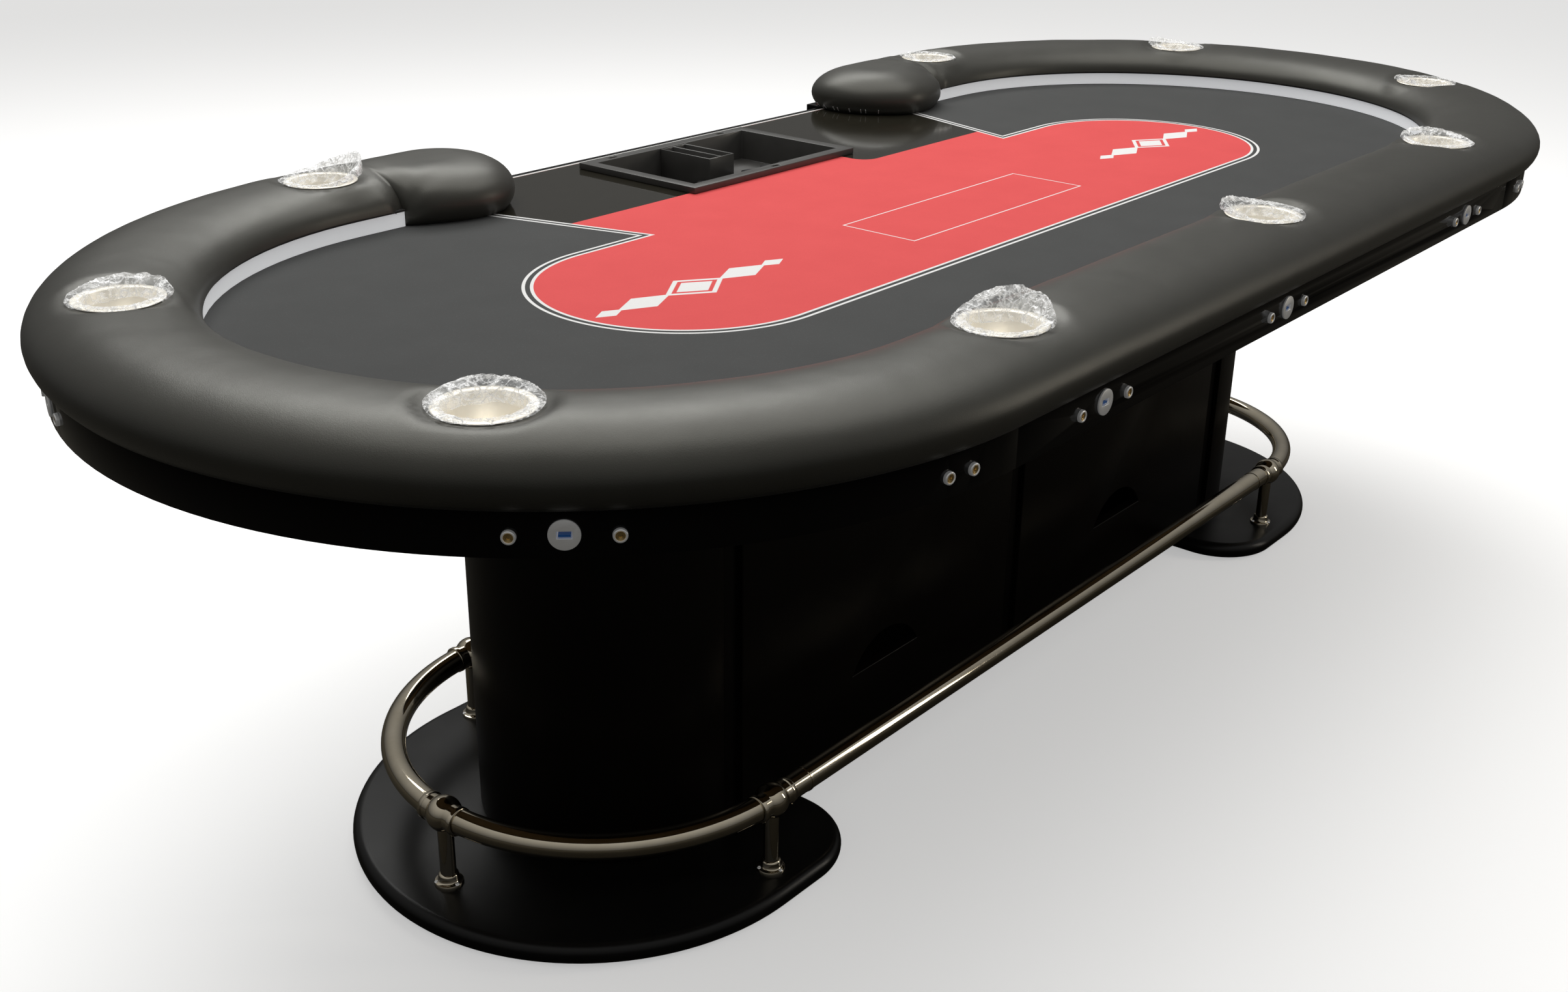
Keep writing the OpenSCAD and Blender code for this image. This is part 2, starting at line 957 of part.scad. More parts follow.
module foot_rail_bend(side) {
    color("#c9bfae")
        difference() {
            translate([side * foot_rail_half, 0, foot_rail_z])
                rotate([0, 0, side > 0 ? -90 : 90])
                    rotate_extrude(angle = 180, $fn = 180)
                        translate([foot_rail_r, 0])
                            circle(d = rail_tube_d, $fn = 48);
            for (p = post_points)
                translate([side * p[0], p[1], foot_rail_z])
                    sphere(r = foot_ball_r + e);
        }
}

module post_places() {
    for (side = [-1, 1])
        for (p = post_points)
            translate([side * p[0], p[1], 0])
                children();
}

module foot_rail_balls() {
    color("#c9bfae")
        post_places()
            translate([0, 0, foot_rail_z])
                difference() {
                    sphere(r = foot_ball_r);
                    translate([0, 0, -foot_ball_r - post_in_ball])
                        cylinder(d = post_d, h = foot_ball_r);
                }
}

module foot_rail_posts() {
    color("#c9bfae")
        post_places()
            translate([0, 0, plate_top])
                cylinder(d = post_d, h = foot_rail_z - post_in_ball - plate_top);
}

module foot_rail_flanges() {
    color("#c9bfae")
        post_places()
            translate([0, 0, plate_top])
                difference() {
                    union() {
                        cylinder(d = flange_d, h = flange_t);
                        cylinder(d = boss_d, h = boss_h);
                    }
                    translate([0, 0, -past])
                        cylinder(d = post_d, h = boss_h + 2 * past);
                }
}

module foot_rail_collars() {
    color("#a89c88")
        for (side = [-1, 1])
            for (k = [-1, 1])
                translate([side * collar_x - collar_w / 2, k * foot_rail_r, foot_rail_z])
                    rotate([0, 90, 0])
                        difference() {
                            cylinder(d = rail_tube_d + 2 * collar_t, h = collar_w);
                            translate([0, 0, -past])
                                cylinder(d = rail_tube_d, h = collar_w + 2 * past);
                        }
}

floor_glides();
base_plate(-1);  // base_plate_left
base_plate(1);  // base_plate_right
pedestal_end(-1);  // pedestal_end_left
pedestal_end(1);  // pedestal_end_right
bulkheads();
pedestal_panel(-1, -1);  // panel_front_left
pedestal_panel(1, -1);  // panel_front_right
pedestal_panel(-1, 1);  // panel_back_left
pedestal_panel(1, 1);  // panel_back_right
pedestal_cleats();
power_supply();
mains_inlet();
wire_loom();
top_battens();
rim_frame_end(-1);  // rim_frame_left
rim_frame_end(1);  // rim_frame_right
rim_frame_front();
top_board();
playing_cloth();
gloss_panel_left();
gloss_panel_right();
dealer_edge_strip();
apron_front();
apron_end(-1);  // apron_left
apron_end(1);  // apron_right
apron_dealer();
connector_bolts();
usb_sockets();
usb_tongues();
rail_core_front();
rail_core_end(-1);  // rail_core_left
rail_core_end(1);  // rail_core_right
rail_pad_front();
rail_pad_end(-1);  // rail_pad_left
rail_pad_end(1);  // rail_pad_right
light_band();
light_tape();
rail_lip_trim();
chip_tray();
chip_rack(-1);  // chip_rack_left
chip_rack(1);  // chip_rack_right
coin_box();
foot_rail_straight(-1);  // foot_rail_front
foot_rail_straight(1);  // foot_rail_back
foot_rail_bend(-1);  // foot_rail_bend_left
foot_rail_bend(1);  // foot_rail_bend_right
foot_rail_balls();
foot_rail_posts();
foot_rail_flanges();
foot_rail_collars();
cup(0);  // cup_front_left
cup(1);  // cup_front_centre
cup(2);  // cup_front_right
cup(3);  // cup_left_front
cup(4);  // cup_left_back
cup(5);  // cup_right_front
cup(6);  // cup_right_back
cup(7);  // cup_back_left
cup(8);  // cup_back_right
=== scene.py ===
import math

import bmesh
import bpy
from mathutils import Matrix, Vector, noise
from mathutils.bvhtree import BVHTree


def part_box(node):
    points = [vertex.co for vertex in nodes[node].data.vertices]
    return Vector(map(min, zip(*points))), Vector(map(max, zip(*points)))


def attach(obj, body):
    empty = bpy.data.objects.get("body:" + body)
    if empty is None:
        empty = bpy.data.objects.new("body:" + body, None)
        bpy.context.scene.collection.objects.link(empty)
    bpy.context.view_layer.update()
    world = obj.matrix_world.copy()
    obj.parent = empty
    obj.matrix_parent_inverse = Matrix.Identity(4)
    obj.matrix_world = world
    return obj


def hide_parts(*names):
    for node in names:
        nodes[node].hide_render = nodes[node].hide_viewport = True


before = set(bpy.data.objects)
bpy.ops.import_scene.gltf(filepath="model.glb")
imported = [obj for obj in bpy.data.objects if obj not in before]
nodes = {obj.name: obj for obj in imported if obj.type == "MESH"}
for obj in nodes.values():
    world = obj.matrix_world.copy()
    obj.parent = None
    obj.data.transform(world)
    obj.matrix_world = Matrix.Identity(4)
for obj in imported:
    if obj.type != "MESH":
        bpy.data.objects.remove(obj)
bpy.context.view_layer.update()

scene = bpy.context.scene
MM = 0.001

# ---- places taken from the frame ----------------------------------------------------------------
PAD_LOW, PAD_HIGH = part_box("rail_pad_right")
OUTER = PAD_HIGH.y                                # the padded rail's outer radius
HALF_RUN = PAD_HIGH.x - PAD_HIGH.y                # centres of the rounded ends
CROWN = PAD_HIGH.z
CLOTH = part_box("playing_cloth")[1].z
BAND_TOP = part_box("rail_core_front")[1].z + 0.3 * MM
ARM_TIP = PAD_LOW.x
PLATE_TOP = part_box("base_plate_left")[1].z
CUPS = [n for n in sorted(nodes) if n.startswith("cup_")]


def middle(node):
    low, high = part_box(node)
    return (low + high) / 2


# ---- camera -------------------------------------------------------------------------------------
def look():
    """The camera: place, turn, tilt and roll."""
    place = Vector((-2.0256, -1.4029, 1.3070))
    turn, tilt, roll = math.radians(50.386), math.radians(22.911), math.radians(0.775)
    ahead = Vector((math.sin(turn) * math.cos(tilt), math.cos(turn) * math.cos(tilt), -math.sin(tilt)))
    level = Vector((math.cos(turn), -math.sin(turn), 0))
    up = level.cross(ahead)
    right = math.cos(roll) * level + math.sin(roll) * up
    up = right.cross(ahead)
    data = bpy.data.cameras.new("camera")
    data.sensor_width = 36
    data.lens = 38.72
    data.shift_x = -0.0018
    data.shift_y = -0.0164
    data.clip_end = 60
    camera = bpy.data.objects.new("camera", data)
    camera.matrix_world = Matrix((
        (right.x, up.x, -ahead.x, place.x),
        (right.y, up.y, -ahead.y, place.y),
        (right.z, up.z, -ahead.z, place.z),
        (0, 0, 0, 1),
    ))
    scene.collection.objects.link(camera)
    scene.camera = camera


look()


# ---- shader writing -----------------------------------------------------------------------------
class Wire:
    """A socket on which arithmetic can be written."""

    def __init__(self, paint, socket):
        self.paint = paint
        self.socket = socket

    def calc(self, operation, *values, clamp=False):
        settings = {"operation": operation, "use_clamp": clamp}
        return self.paint.node("Math", settings, dict(enumerate(values)))[0]

    def __add__(self, other):
        return self.calc("ADD", self, other)

    def __sub__(self, other):
        return self.calc("SUBTRACT", self, other)

    def __rsub__(self, other):
        return self.calc("SUBTRACT", other, self)

    def __mul__(self, other):
        return self.calc("MULTIPLY", self, other)

    def __truediv__(self, other):
        return self.calc("DIVIDE", self, other)

    def __rtruediv__(self, other):
        return self.calc("DIVIDE", other, self)

    def __pow__(self, other):
        return self.calc("POWER", self, other)

    def __abs__(self):
        return self.calc("ABSOLUTE", self)

    __radd__ = __add__
    __rmul__ = __mul__

    def least(self, other):
        return self.calc("MINIMUM", self, other)

    def most(self, other):
        return self.calc("MAXIMUM", self, other)

    def above(self, level, soft=0.4 * MM):
        """1 where the value is over level and 0 where it is under, with an edge soft wide."""
        return self.calc("ADD", (self - level) / soft, 0.5, clamp=True)

    def below(self, level, soft=0.4 * MM):
        return 1 - self.above(level, soft)

    def between(self, low, high, soft=0.4 * MM):
        return self.above(low, soft) * self.below(high, soft)


class Outputs:
    """The outputs of one node, as wires."""

    def __init__(self, paint, made):
        self.paint = paint
        self.made = made

    def __getitem__(self, key):
        return Wire(self.paint, self.made.outputs[key])


class Paint:
    """A material, and the one method that adds its nodes."""

    def __init__(self, name):
        self.material = bpy.data.materials.new(name)
        self.material.use_nodes = True
        self.tree = self.material.node_tree
        self.tree.nodes.clear()
        self.place = self.node("TexCoord")["Object"]

    def node(self, kind, settings=None, inputs=None):
        made = self.tree.nodes.new("ShaderNode" + kind)
        for key, value in (settings or {}).items():
            setattr(made, key, value)
        for key, value in (inputs or {}).items():
            socket = made.inputs[key]
            if isinstance(value, Wire):
                self.tree.links.new(value.socket, socket)
            else:
                socket.default_value = value
        return Outputs(self, made)

    def stretched(self, scale, turn=(0, 0, 0), move=(0, 0, 0)):
        """The place, scaled by the three numbers and turned."""
        return self.node("Mapping", None, {
            "Vector": self.place, "Scale": scale, "Rotation": turn, "Location": move,
        })["Vector"]

    def grains(self, size, detail=2.0, rough=0.5, place=None):
        """Soft noise whose lumps are about size metres across, from 0 to 1."""
        return self.node("TexNoise", None, {
            "Vector": place or self.place, "Scale": 1 / size, "Detail": detail, "Roughness": rough,
        })["Fac"]

    def cells(self, size, place=None, feature="F1"):
        """Distance to the nearest of scattered points size metres apart, from 0 to about 1."""
        return self.node("TexVoronoi", {"feature": feature}, {
            "Vector": place or self.place, "Scale": 1 / size,
        })["Distance"]

    def mix(self, share, first, second):
        """Two colours mixed; share 0 is the first."""
        colour = {6: first, 7: second}
        colour = {k: (*v, 1) if isinstance(v, tuple) else v for k, v in colour.items()}
        return self.node("Mix", {"data_type": "RGBA"}, {0: share, **colour})[2]

    def spread(self, value, low, high):
        """The value from 0 to 1 as a number from low to high."""
        return value * (high - low) + low

    def bump(self, height, distance, strength=1.0, under=None):
        inputs = {"Height": height, "Distance": distance, "Strength": strength}
        if under:
            inputs["Normal"] = under
        return self.node("Bump", None, inputs)["Normal"]

    def finish(self, **looks):
        """Closes the material with a Principled shader: base_color=..., roughness=... and so on."""
        words = {k.replace("_", " ").title().replace("Ior", "IOR"): v for k, v in looks.items()}
        words = {k: (*v, 1) if isinstance(v, tuple) and len(v) == 3 else v for k, v in words.items()}
        shader = self.node("BsdfPrincipled", None, words)
        self.node("OutputMaterial", None, {"Surface": shader["BSDF"]})
        return self.material

    def axes(self):
        split = self.node("SeparateXYZ", None, {"Vector": self.place})
        return split["X"], split["Y"], split["Z"]


# ---- materials ----------------------------------------------------------------------------------
def make_vinyl():
    p = Paint("vinyl")
    pebble = p.cells(1.3 * MM)
    crease = p.grains(0.5 * MM, 3, 0.6)
    soft = p.grains(60 * MM, 3, 0.55)
    scuff = p.grains(9 * MM, 5, 0.7)
    tone = p.mix(p.spread(soft, 0.15, 0.85), (0.021, 0.0205, 0.0170), (0.033, 0.0325, 0.0280))
    grain = p.bump(pebble * 0.7 + crease * 0.3, 0.12 * MM, 0.55)
    waves = p.bump(p.grains(35 * MM, 2, 0.5), 1.2 * MM, 0.22, grain)
    rough = p.spread(soft * 0.6 + scuff * 0.4, 0.34, 0.48)
    return p.finish(base_color=tone, roughness=rough, normal=waves, specular_ior_level=0.64,
                    specular_tint=(1.0, 0.99, 0.90), sheen_weight=0.04, sheen_roughness=0.4)


def make_gloss_apron():
    p = Paint("gloss_apron")
    smear = p.grains(22 * MM, 4, 0.6, p.stretched((1, 1, 0.3)))
    dust = p.cells(7 * MM).below(0.09, 0.02)
    tone = p.mix(dust * 0.15, (0.0020, 0.0018, 0.0020), (0.03, 0.028, 0.026))
    wave = p.bump(p.grains(120 * MM, 2, 0.4, p.stretched((1, 1, 0.15))), 0.6 * MM, 0.25)
    return p.finish(base_color=tone, roughness=p.spread(smear, 0.05, 0.16), normal=wave,
                    specular_ior_level=0.16)


def make_laminate():
    p = Paint("laminate")
    fibre = p.grains(3 * MM, 5, 0.65, p.stretched((1, 1, 0.035)))
    broad = p.grains(90 * MM, 3, 0.5, p.stretched((1, 1, 0.2)))
    tone = p.mix(fibre * 0.6 + broad * 0.4, (0.0018, 0.0014, 0.0012), (0.0062, 0.0048, 0.0040))
    rough = p.spread(fibre * 0.5 + broad * 0.5, 0.26, 0.44)
    return p.finish(base_color=tone, roughness=rough, normal=p.bump(fibre, 0.08 * MM, 0.5),
                    specular_ior_level=0.16)


def make_reveal():
    p = Paint("reveal")
    fibre = p.grains(3 * MM, 4, 0.6, p.stretched((1, 1, 0.05)))
    tone = p.mix(fibre, (0.0012, 0.0009, 0.0008), (0.004, 0.003, 0.0026))
    return p.finish(base_color=tone, roughness=0.5, normal=p.bump(fibre, 0.06 * MM, 0.4),
                    specular_ior_level=0.12)


def make_plate():
    p = Paint("plate_black")
    peel = p.grains(2.2 * MM, 2, 0.5)
    broad = p.grains(70 * MM, 4, 0.6)
    wear = p.cells(11 * MM).below(0.08, 0.02) * p.grains(50 * MM, 2).above(0.55, 0.1)
    tone = p.mix(wear * 0.3 + broad * 0.25, (0.0035, 0.0035, 0.0036), (0.022, 0.020, 0.018))
    return p.finish(base_color=tone, roughness=p.spread(broad, 0.24, 0.40),
                    normal=p.bump(peel, 0.10 * MM, 0.45), specular_ior_level=0.28)


def make_nickel():
    p = Paint("polished_nickel")
    brush = p.grains(1.2 * MM, 4, 0.6, p.stretched((0.06, 1, 1)))
    cloud = p.grains(40 * MM, 4, 0.6)
    tone = p.mix(cloud, (0.60, 0.53, 0.40), (0.78, 0.71, 0.58))
    return p.finish(base_color=tone, metallic=1.0, roughness=p.spread(cloud * 0.6 + brush * 0.4, 0.03, 0.11),
                    normal=p.bump(brush, 0.01 * MM, 0.3))


def make_brushed(name, light, dark, low, high, painted_glow):
    """Brushed metal whose fine lines run level round a cup or a bezel. Its lighter tone is also given off as
    a painted glow, which brightens the steel beyond what the lamps give.
    """
    p = Paint(name)
    lines = p.grains(0.5 * MM, 3, 0.6, p.stretched((0.05, 0.05, 1)))
    cloud = p.grains(14 * MM, 3, 0.6)
    tone = p.mix(lines * 0.5 + cloud * 0.5, dark, light)
    return p.finish(base_color=tone, metallic=1.0, roughness=p.spread(lines, low, high),
                    normal=p.bump(lines, 0.03 * MM, 0.5), emission_color=light, emission_strength=painted_glow)


def make_brass():
    p = Paint("satin_brass")
    cloud = p.grains(3 * MM, 3, 0.6)
    tone = p.mix(cloud, (0.56, 0.39, 0.15), (0.86, 0.64, 0.30))
    return p.finish(base_color=tone, metallic=1.0, roughness=p.spread(cloud, 0.18, 0.38),
                    normal=p.bump(cloud, 0.03 * MM, 0.3))


def make_plastic(name, dark, light, low, high, grain=0.6 * MM, coat=0.0):
    """Moulded or painted black, with a fine grain."""
    p = Paint(name)
    fine = p.grains(grain, 2, 0.5)
    cloud = p.grains(30 * MM, 3, 0.6)
    tone = p.mix(cloud, dark, light)
    return p.finish(base_color=tone, roughness=p.spread(cloud, low, high),
                    normal=p.bump(fine, 0.05 * MM, 0.4), coat_weight=coat, coat_roughness=0.08)


def make_diffuser():
    p = Paint("frosted_band")
    height = p.axes()[2]
    cloud = p.grains(45 * MM, 3, 0.6)
    rise = (height - CLOTH) / (BAND_TOP - CLOTH)
    fade = rise.calc("POWER", rise, 1.5, clamp=True)
    tone = p.mix(fade * 0.55 + cloud * 0.15, (0.90, 0.91, 0.93), (0.62, 0.64, 0.67))
    return p.finish(base_color=tone, roughness=0.38, normal=p.bump(p.grains(1 * MM), 0.02 * MM, 0.3),
                    emission_color=(0.95, 0.97, 1.0), emission_strength=0.30)


def make_ply():
    p = Paint("plywood")
    figure = p.grains(16 * MM, 5, 0.65, p.stretched((0.08, 1, 1)))
    layer = p.grains(1.5 * MM, 1, 0.5, p.stretched((0.02, 0.02, 1)))
    tone = p.mix(figure * 0.7 + layer * 0.3, (0.36, 0.23, 0.12), (0.60, 0.44, 0.27))
    return p.finish(base_color=tone, roughness=p.spread(figure, 0.55, 0.75),
                    normal=p.bump(figure, 0.2 * MM, 0.4))


def make_plain(name, dark, light, rough, grain):
    p = Paint(name)
    lumps = p.grains(grain, 3, 0.6)
    return p.finish(base_color=p.mix(lumps, dark, light), roughness=rough,
                    normal=p.bump(lumps, 0.1 * MM, 0.4))


# The printed cloth, in metres
BET_HALF, BET_R, BET_Y = 0.566, 0.1994, -0.0285      # betting line: half straight, radius, middle
FUNNEL_X, FUNNEL_Y, FUNNEL_SLOPE = 0.444, 0.160, 0.29  # the lines that lead to the dealer's place
FUNNEL_END = 0.10                                    # their end towards the players
LINE, GAP = 4.2 * MM, 6.0 * MM                       # a white line, and the dark gap between two
CARDS_X, CARDS_Y, CARDS_HALF_Y = 0.2154, -0.0614, 0.0607
EMBLEM_X, EMBLEM_Y = 0.570, -0.048
# Each diamond's distance from the ornament's middle, half its width and half its height
DIAMONDS = ((0, 0.052, 0.036), (0.088, 0.044, 0.022), (0.146, 0.022, 0.012))
THREADS = 420                                        # scale of the weave's wave pattern


def stadium_distance(x, y):
    """How far outside the betting line a place is."""
    over = (abs(x) - BET_HALF).most(0)
    rise = y - BET_Y
    return (over * over + rise * rise) ** 0.5 - BET_R


def funnel_distance(x, y):
    """How far outside the two slanting lines a place is."""
    across = (abs(x) - FUNNEL_X - (y - FUNNEL_Y) * FUNNEL_SLOPE) / math.hypot(1, FUNNEL_SLOPE)
    return across.most(FUNNEL_END - y)


def double_line(inside):
    """The two white lines along a border, on its inner side."""
    return inside.between(-LINE, 0) + inside.between(-2 * LINE - GAP, -LINE - GAP)


def lozenge(x, y, middle_x, middle_y, half_x, half_y):
    """How far outside a diamond a place is, counted from 1 at its edge."""
    return abs((x - middle_x) / half_x) + abs((y - middle_y) / half_y)


def emblem(x, y):
    """A plain ornament of diamonds, on both halves of the cloth."""
    shape = None
    for step, half_x, half_y in DIAMONDS:
        for sign in ((1, -1) if step else (1,)):
            diamond = lozenge(abs(x), y, EMBLEM_X + sign * step, EMBLEM_Y, half_x, half_y)
            mark = diamond.below(1, 0.03)
            if not step:
                mark = mark - diamond.between(0.62, 0.80, 0.03)
            shape = mark if shape is None else shape.most(mark)
    return shape


def threads(p, turn):
    """Fine parallel threads, turned by the angle."""
    return p.node("TexWave", {"wave_type": "BANDS"}, {
        "Vector": p.stretched((1, 1, 1), (0, 0, turn)), "Scale": THREADS, "Distortion": 1.2, "Detail": 2,
    })["Fac"]


def make_cloth():
    p = Paint("printed_cloth")
    x, y = p.axes()[:2]
    inside = stadium_distance(x, y).least(funnel_distance(x, y))
    white = double_line(inside)
    red = inside.below(-LINE - GAP - LINE / 2)
    box = (abs(x) - CARDS_X).most(abs(y - CARDS_Y) - CARDS_HALF_Y)
    frame_line = box.between(-1.1 * MM, 1.1 * MM)
    white = white.most(frame_line).most(emblem(x, y))
    speck = p.grains(1.1 * MM, 3, 0.8)
    fleck = p.cells(3.5 * MM).below(0.12, 0.05)
    broad = p.grains(80 * MM, 4, 0.6)
    ground = p.mix(speck * 0.7 + broad * 0.3, (0.034, 0.035, 0.035), (0.082, 0.084, 0.084))
    ground = p.mix(fleck * 0.25, ground, (0.22, 0.225, 0.23))
    flag = p.mix(speck * 0.7 + broad * 0.3, (0.60, 0.052, 0.055), (0.84, 0.115, 0.115))
    tone = p.mix(white, p.mix(red, ground, flag), p.mix(speck, (0.74, 0.74, 0.74), (0.88, 0.88, 0.87)))
    weave = threads(p, 0.785)
    weft = threads(p, -0.785)
    return p.finish(base_color=tone, roughness=p.spread(speck, 0.72, 0.92),
                    normal=p.bump(weave * 0.5 + weft * 0.5 + speck, 0.12 * MM, 0.5),
                    specular_ior_level=0.18, sheen_weight=0.04, sheen_roughness=0.5)


def make_panel_gloss():
    p = Paint("gloss_panel")
    x, y = p.axes()[:2]
    swirl = p.grains(30 * MM, 5, 0.7, p.stretched((0.5, 1.4, 1), (0, 0, 0.5)))
    hair = p.cells(5 * MM, feature="DISTANCE_TO_EDGE").below(0.02, 0.02)
    hair = hair * p.grains(20 * MM, 2).above(0.6, 0.1)
    gloss = p.mix(hair * 0.2 + swirl * 0.12, (0.016, 0.0145, 0.010), (0.060, 0.054, 0.042))
    inside = funnel_distance(x, y)
    border = inside.above(-2 * LINE - GAP)
    white = double_line(inside)
    tone = p.mix(border, gloss, (0.050, 0.051, 0.051))
    tone = p.mix(white, tone, (0.80, 0.80, 0.80))
    return p.finish(base_color=tone, roughness=border * 0.7 + p.spread(swirl, 0.03, 0.12),
                    normal=p.bump(swirl, 0.2 * MM, 0.08), specular_ior_level=0.5)


def make_film():
    p = Paint("clear_film")
    broad = p.grains(26 * MM, 1.5, 0.5)
    small = p.grains(12 * MM, 2.5, 0.6)
    crease = (1 - abs(broad - 0.5) * 26).most(0)
    wrinkle = (1 - abs(small - 0.5) * 17).most(0)
    haze = p.grains(16 * MM, 2).above(0.54, 0.16)
    # Where the film is opaque white: along creases and wrinkles and in hazy patches. This is partly the
    # film's own whitening at its folds and partly painted highlights; elsewhere it is nearly clear.
    fold_white_and_painted_glints = crease.most(wrinkle * 0.75) * 0.80 + haze * 0.30 + 0.13
    # The film also gives off a faint painted glow, standing in for light scattered in the film.
    return p.finish(base_color=p.mix(small, (0.90, 0.91, 0.92), (1.0, 1.0, 1.0)), roughness=0.14,
                    alpha=fold_white_and_painted_glints, normal=p.bump(crease + wrinkle * 0.6 + small, 2.2 * MM, 0.9),
                    specular_ior_level=1.0, emission_color=(1.0, 1.0, 0.98), emission_strength=0.24)


VINYL = make_vinyl()
APRON = make_gloss_apron()
LAMINATE = make_laminate()
REVEAL = make_reveal()
PLATE = make_plate()
NICKEL = make_nickel()
# The last number of each steel is the strength of its painted glow.
CUP_STEEL = make_brushed("cup_steel", (0.97, 0.93, 0.84), (0.84, 0.79, 0.69), 0.30, 0.48, 0.13)
BEZEL = make_brushed("bezel_steel", (0.92, 0.92, 0.91), (0.70, 0.70, 0.70), 0.30, 0.50, 0.08)
BRASS = make_brass()
TRAY = make_plastic("tray_black", (0.030, 0.029, 0.027), (0.052, 0.050, 0.046), 0.34, 0.48, 0.8 * MM, 0.2)
RACK = make_plastic("rack_black", (0.030, 0.030, 0.032), (0.052, 0.052, 0.054), 0.22, 0.38, 0.8 * MM)
TRIM = make_plastic("trim_black", (0.008, 0.008, 0.008), (0.018, 0.018, 0.018), 0.40, 0.60)
PANEL = make_panel_gloss()
BAND = make_diffuser()
PLY = make_ply()
CLOTH_PRINT = make_cloth()
FILM = make_film()
WHITE_EDGE = make_plain("white_edging", (0.66, 0.66, 0.64), (0.80, 0.80, 0.78), 0.35, 6 * MM)
BLUE = make_plain("blue_insert", (0.01, 0.10, 0.42), (0.03, 0.19, 0.60), 0.30, 1 * MM)
RUBBER = make_plain("rubber_black", (0.012, 0.012, 0.012), (0.03, 0.03, 0.03), 0.75, 1.5 * MM)
CASE = make_plain("dark_case", (0.012, 0.012, 0.013), (0.030, 0.030, 0.032), 0.55, 8 * MM)
TAPE = make_plain("light_tape", (0.70, 0.64, 0.42), (0.85, 0.80, 0.60), 0.45, 5 * MM)
STAPLE = make_plain("staple_wire", (0.55, 0.55, 0.55), (0.85, 0.85, 0.85), 0.25, 1 * MM)


# ---- mesh helpers -------------------------------------------------------------------------------
def piece(name, bm, material, body="table", replaces=(), sharp=38):
    """Makes the object: faces smooth, edges sharper than the given degrees kept crisp."""
    for face in bm.faces:
        face.smooth = True
    for edge in bm.edges:
        if edge.is_manifold:
            edge.smooth = edge.calc_face_angle(0) < math.radians(sharp)
    mesh = bpy.data.meshes.new(name)
    bm.to_mesh(mesh)
    bm.free()
    mesh.materials.append(material)
    obj = bpy.data.objects.new(name, mesh)
    scene.collection.objects.link(obj)
    if replaces:
        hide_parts(*replaces)
    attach(obj, body)
    return obj


def paint_node(node, material):
    """Gives a CAD node its finish."""
    obj = nodes[node]
    obj.data.materials.clear()
    obj.data.materials.append(material)


def eased(node, width, material, segments=3, sharper=35, body="table"):
    """A copy of a CAD node with its sharp edges rounded, which stands for it."""
    bm = bmesh.new()
    bm.from_mesh(nodes[node].data)
    bmesh.ops.remove_doubles(bm, verts=bm.verts, dist=0.01 * MM)
    bmesh.ops.dissolve_limit(bm, angle_limit=math.radians(0.6), verts=bm.verts, edges=bm.edges)
    crisp = [e for e in bm.edges if e.is_manifold and e.calc_face_angle(0) > math.radians(sharper)]
    bmesh.ops.bevel(bm, geom=crisp, offset=width, offset_type="OFFSET", affect="EDGES",
                    segments=segments, profile=0.5, material=-1, clamp_overlap=True)
    bmesh.ops.dissolve_degenerate(bm, dist=0.001 * MM, edges=bm.edges)
    return piece(node + "_finished", bm, material, body, (node,))


def turned(bm, outline, place, steps=48):
    """Spins an outline of (radius, height) points about Z and puts it at place."""
    made = [bm.verts.new((r, 0, h)) for r, h in outline]
    edges = [bm.edges.new(pair) for pair in zip(made, made[1:])]
    before = len(bm.verts) - len(made)
    bmesh.ops.spin(bm, geom=made + edges, cent=(0, 0, 0), axis=(0, 0, 1),
                   angle=2 * math.pi, steps=steps, use_merge=True)
    bm.verts.ensure_lookup_table()
    bmesh.ops.transform(bm, matrix=place, verts=bm.verts[before:])


def closed_up(bm):
    """Merges the seam and poles, and turns the faces outwards."""
    bmesh.ops.remove_doubles(bm, verts=bm.verts, dist=0.005 * MM)
    bmesh.ops.dissolve_degenerate(bm, dist=0.002 * MM, edges=bm.edges)
    bmesh.ops.recalc_face_normals(bm, faces=bm.faces)


# ---- padded rail --------------------------------------------------------------------------------
PAD_A = 0.086                                    # half width of the pad's round shoulders
PAD_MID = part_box("light_band")[0].z + 24.7 * MM  # height of its widest line
PAD_RISE = CROWN - PAD_MID
STRIP_MID = 0.524                                # the strip's middle line
STRIP_IN = 2 * STRIP_MID - OUTER                 # and its inner edge
SECTION_STEP = 6.5 * MM                          # between two sections laid along it
ARM_START = 0.627                                # where the arm rest begins, and its inner edge
ARM_IN = 0.384
DEALER_SIDE = 0.3                                # the arm rests lie beyond this line
TIP_C = Vector((0.5165, 0.500, 0))
TUCK = 0.0177                                    # how far the skin turns in at its foot


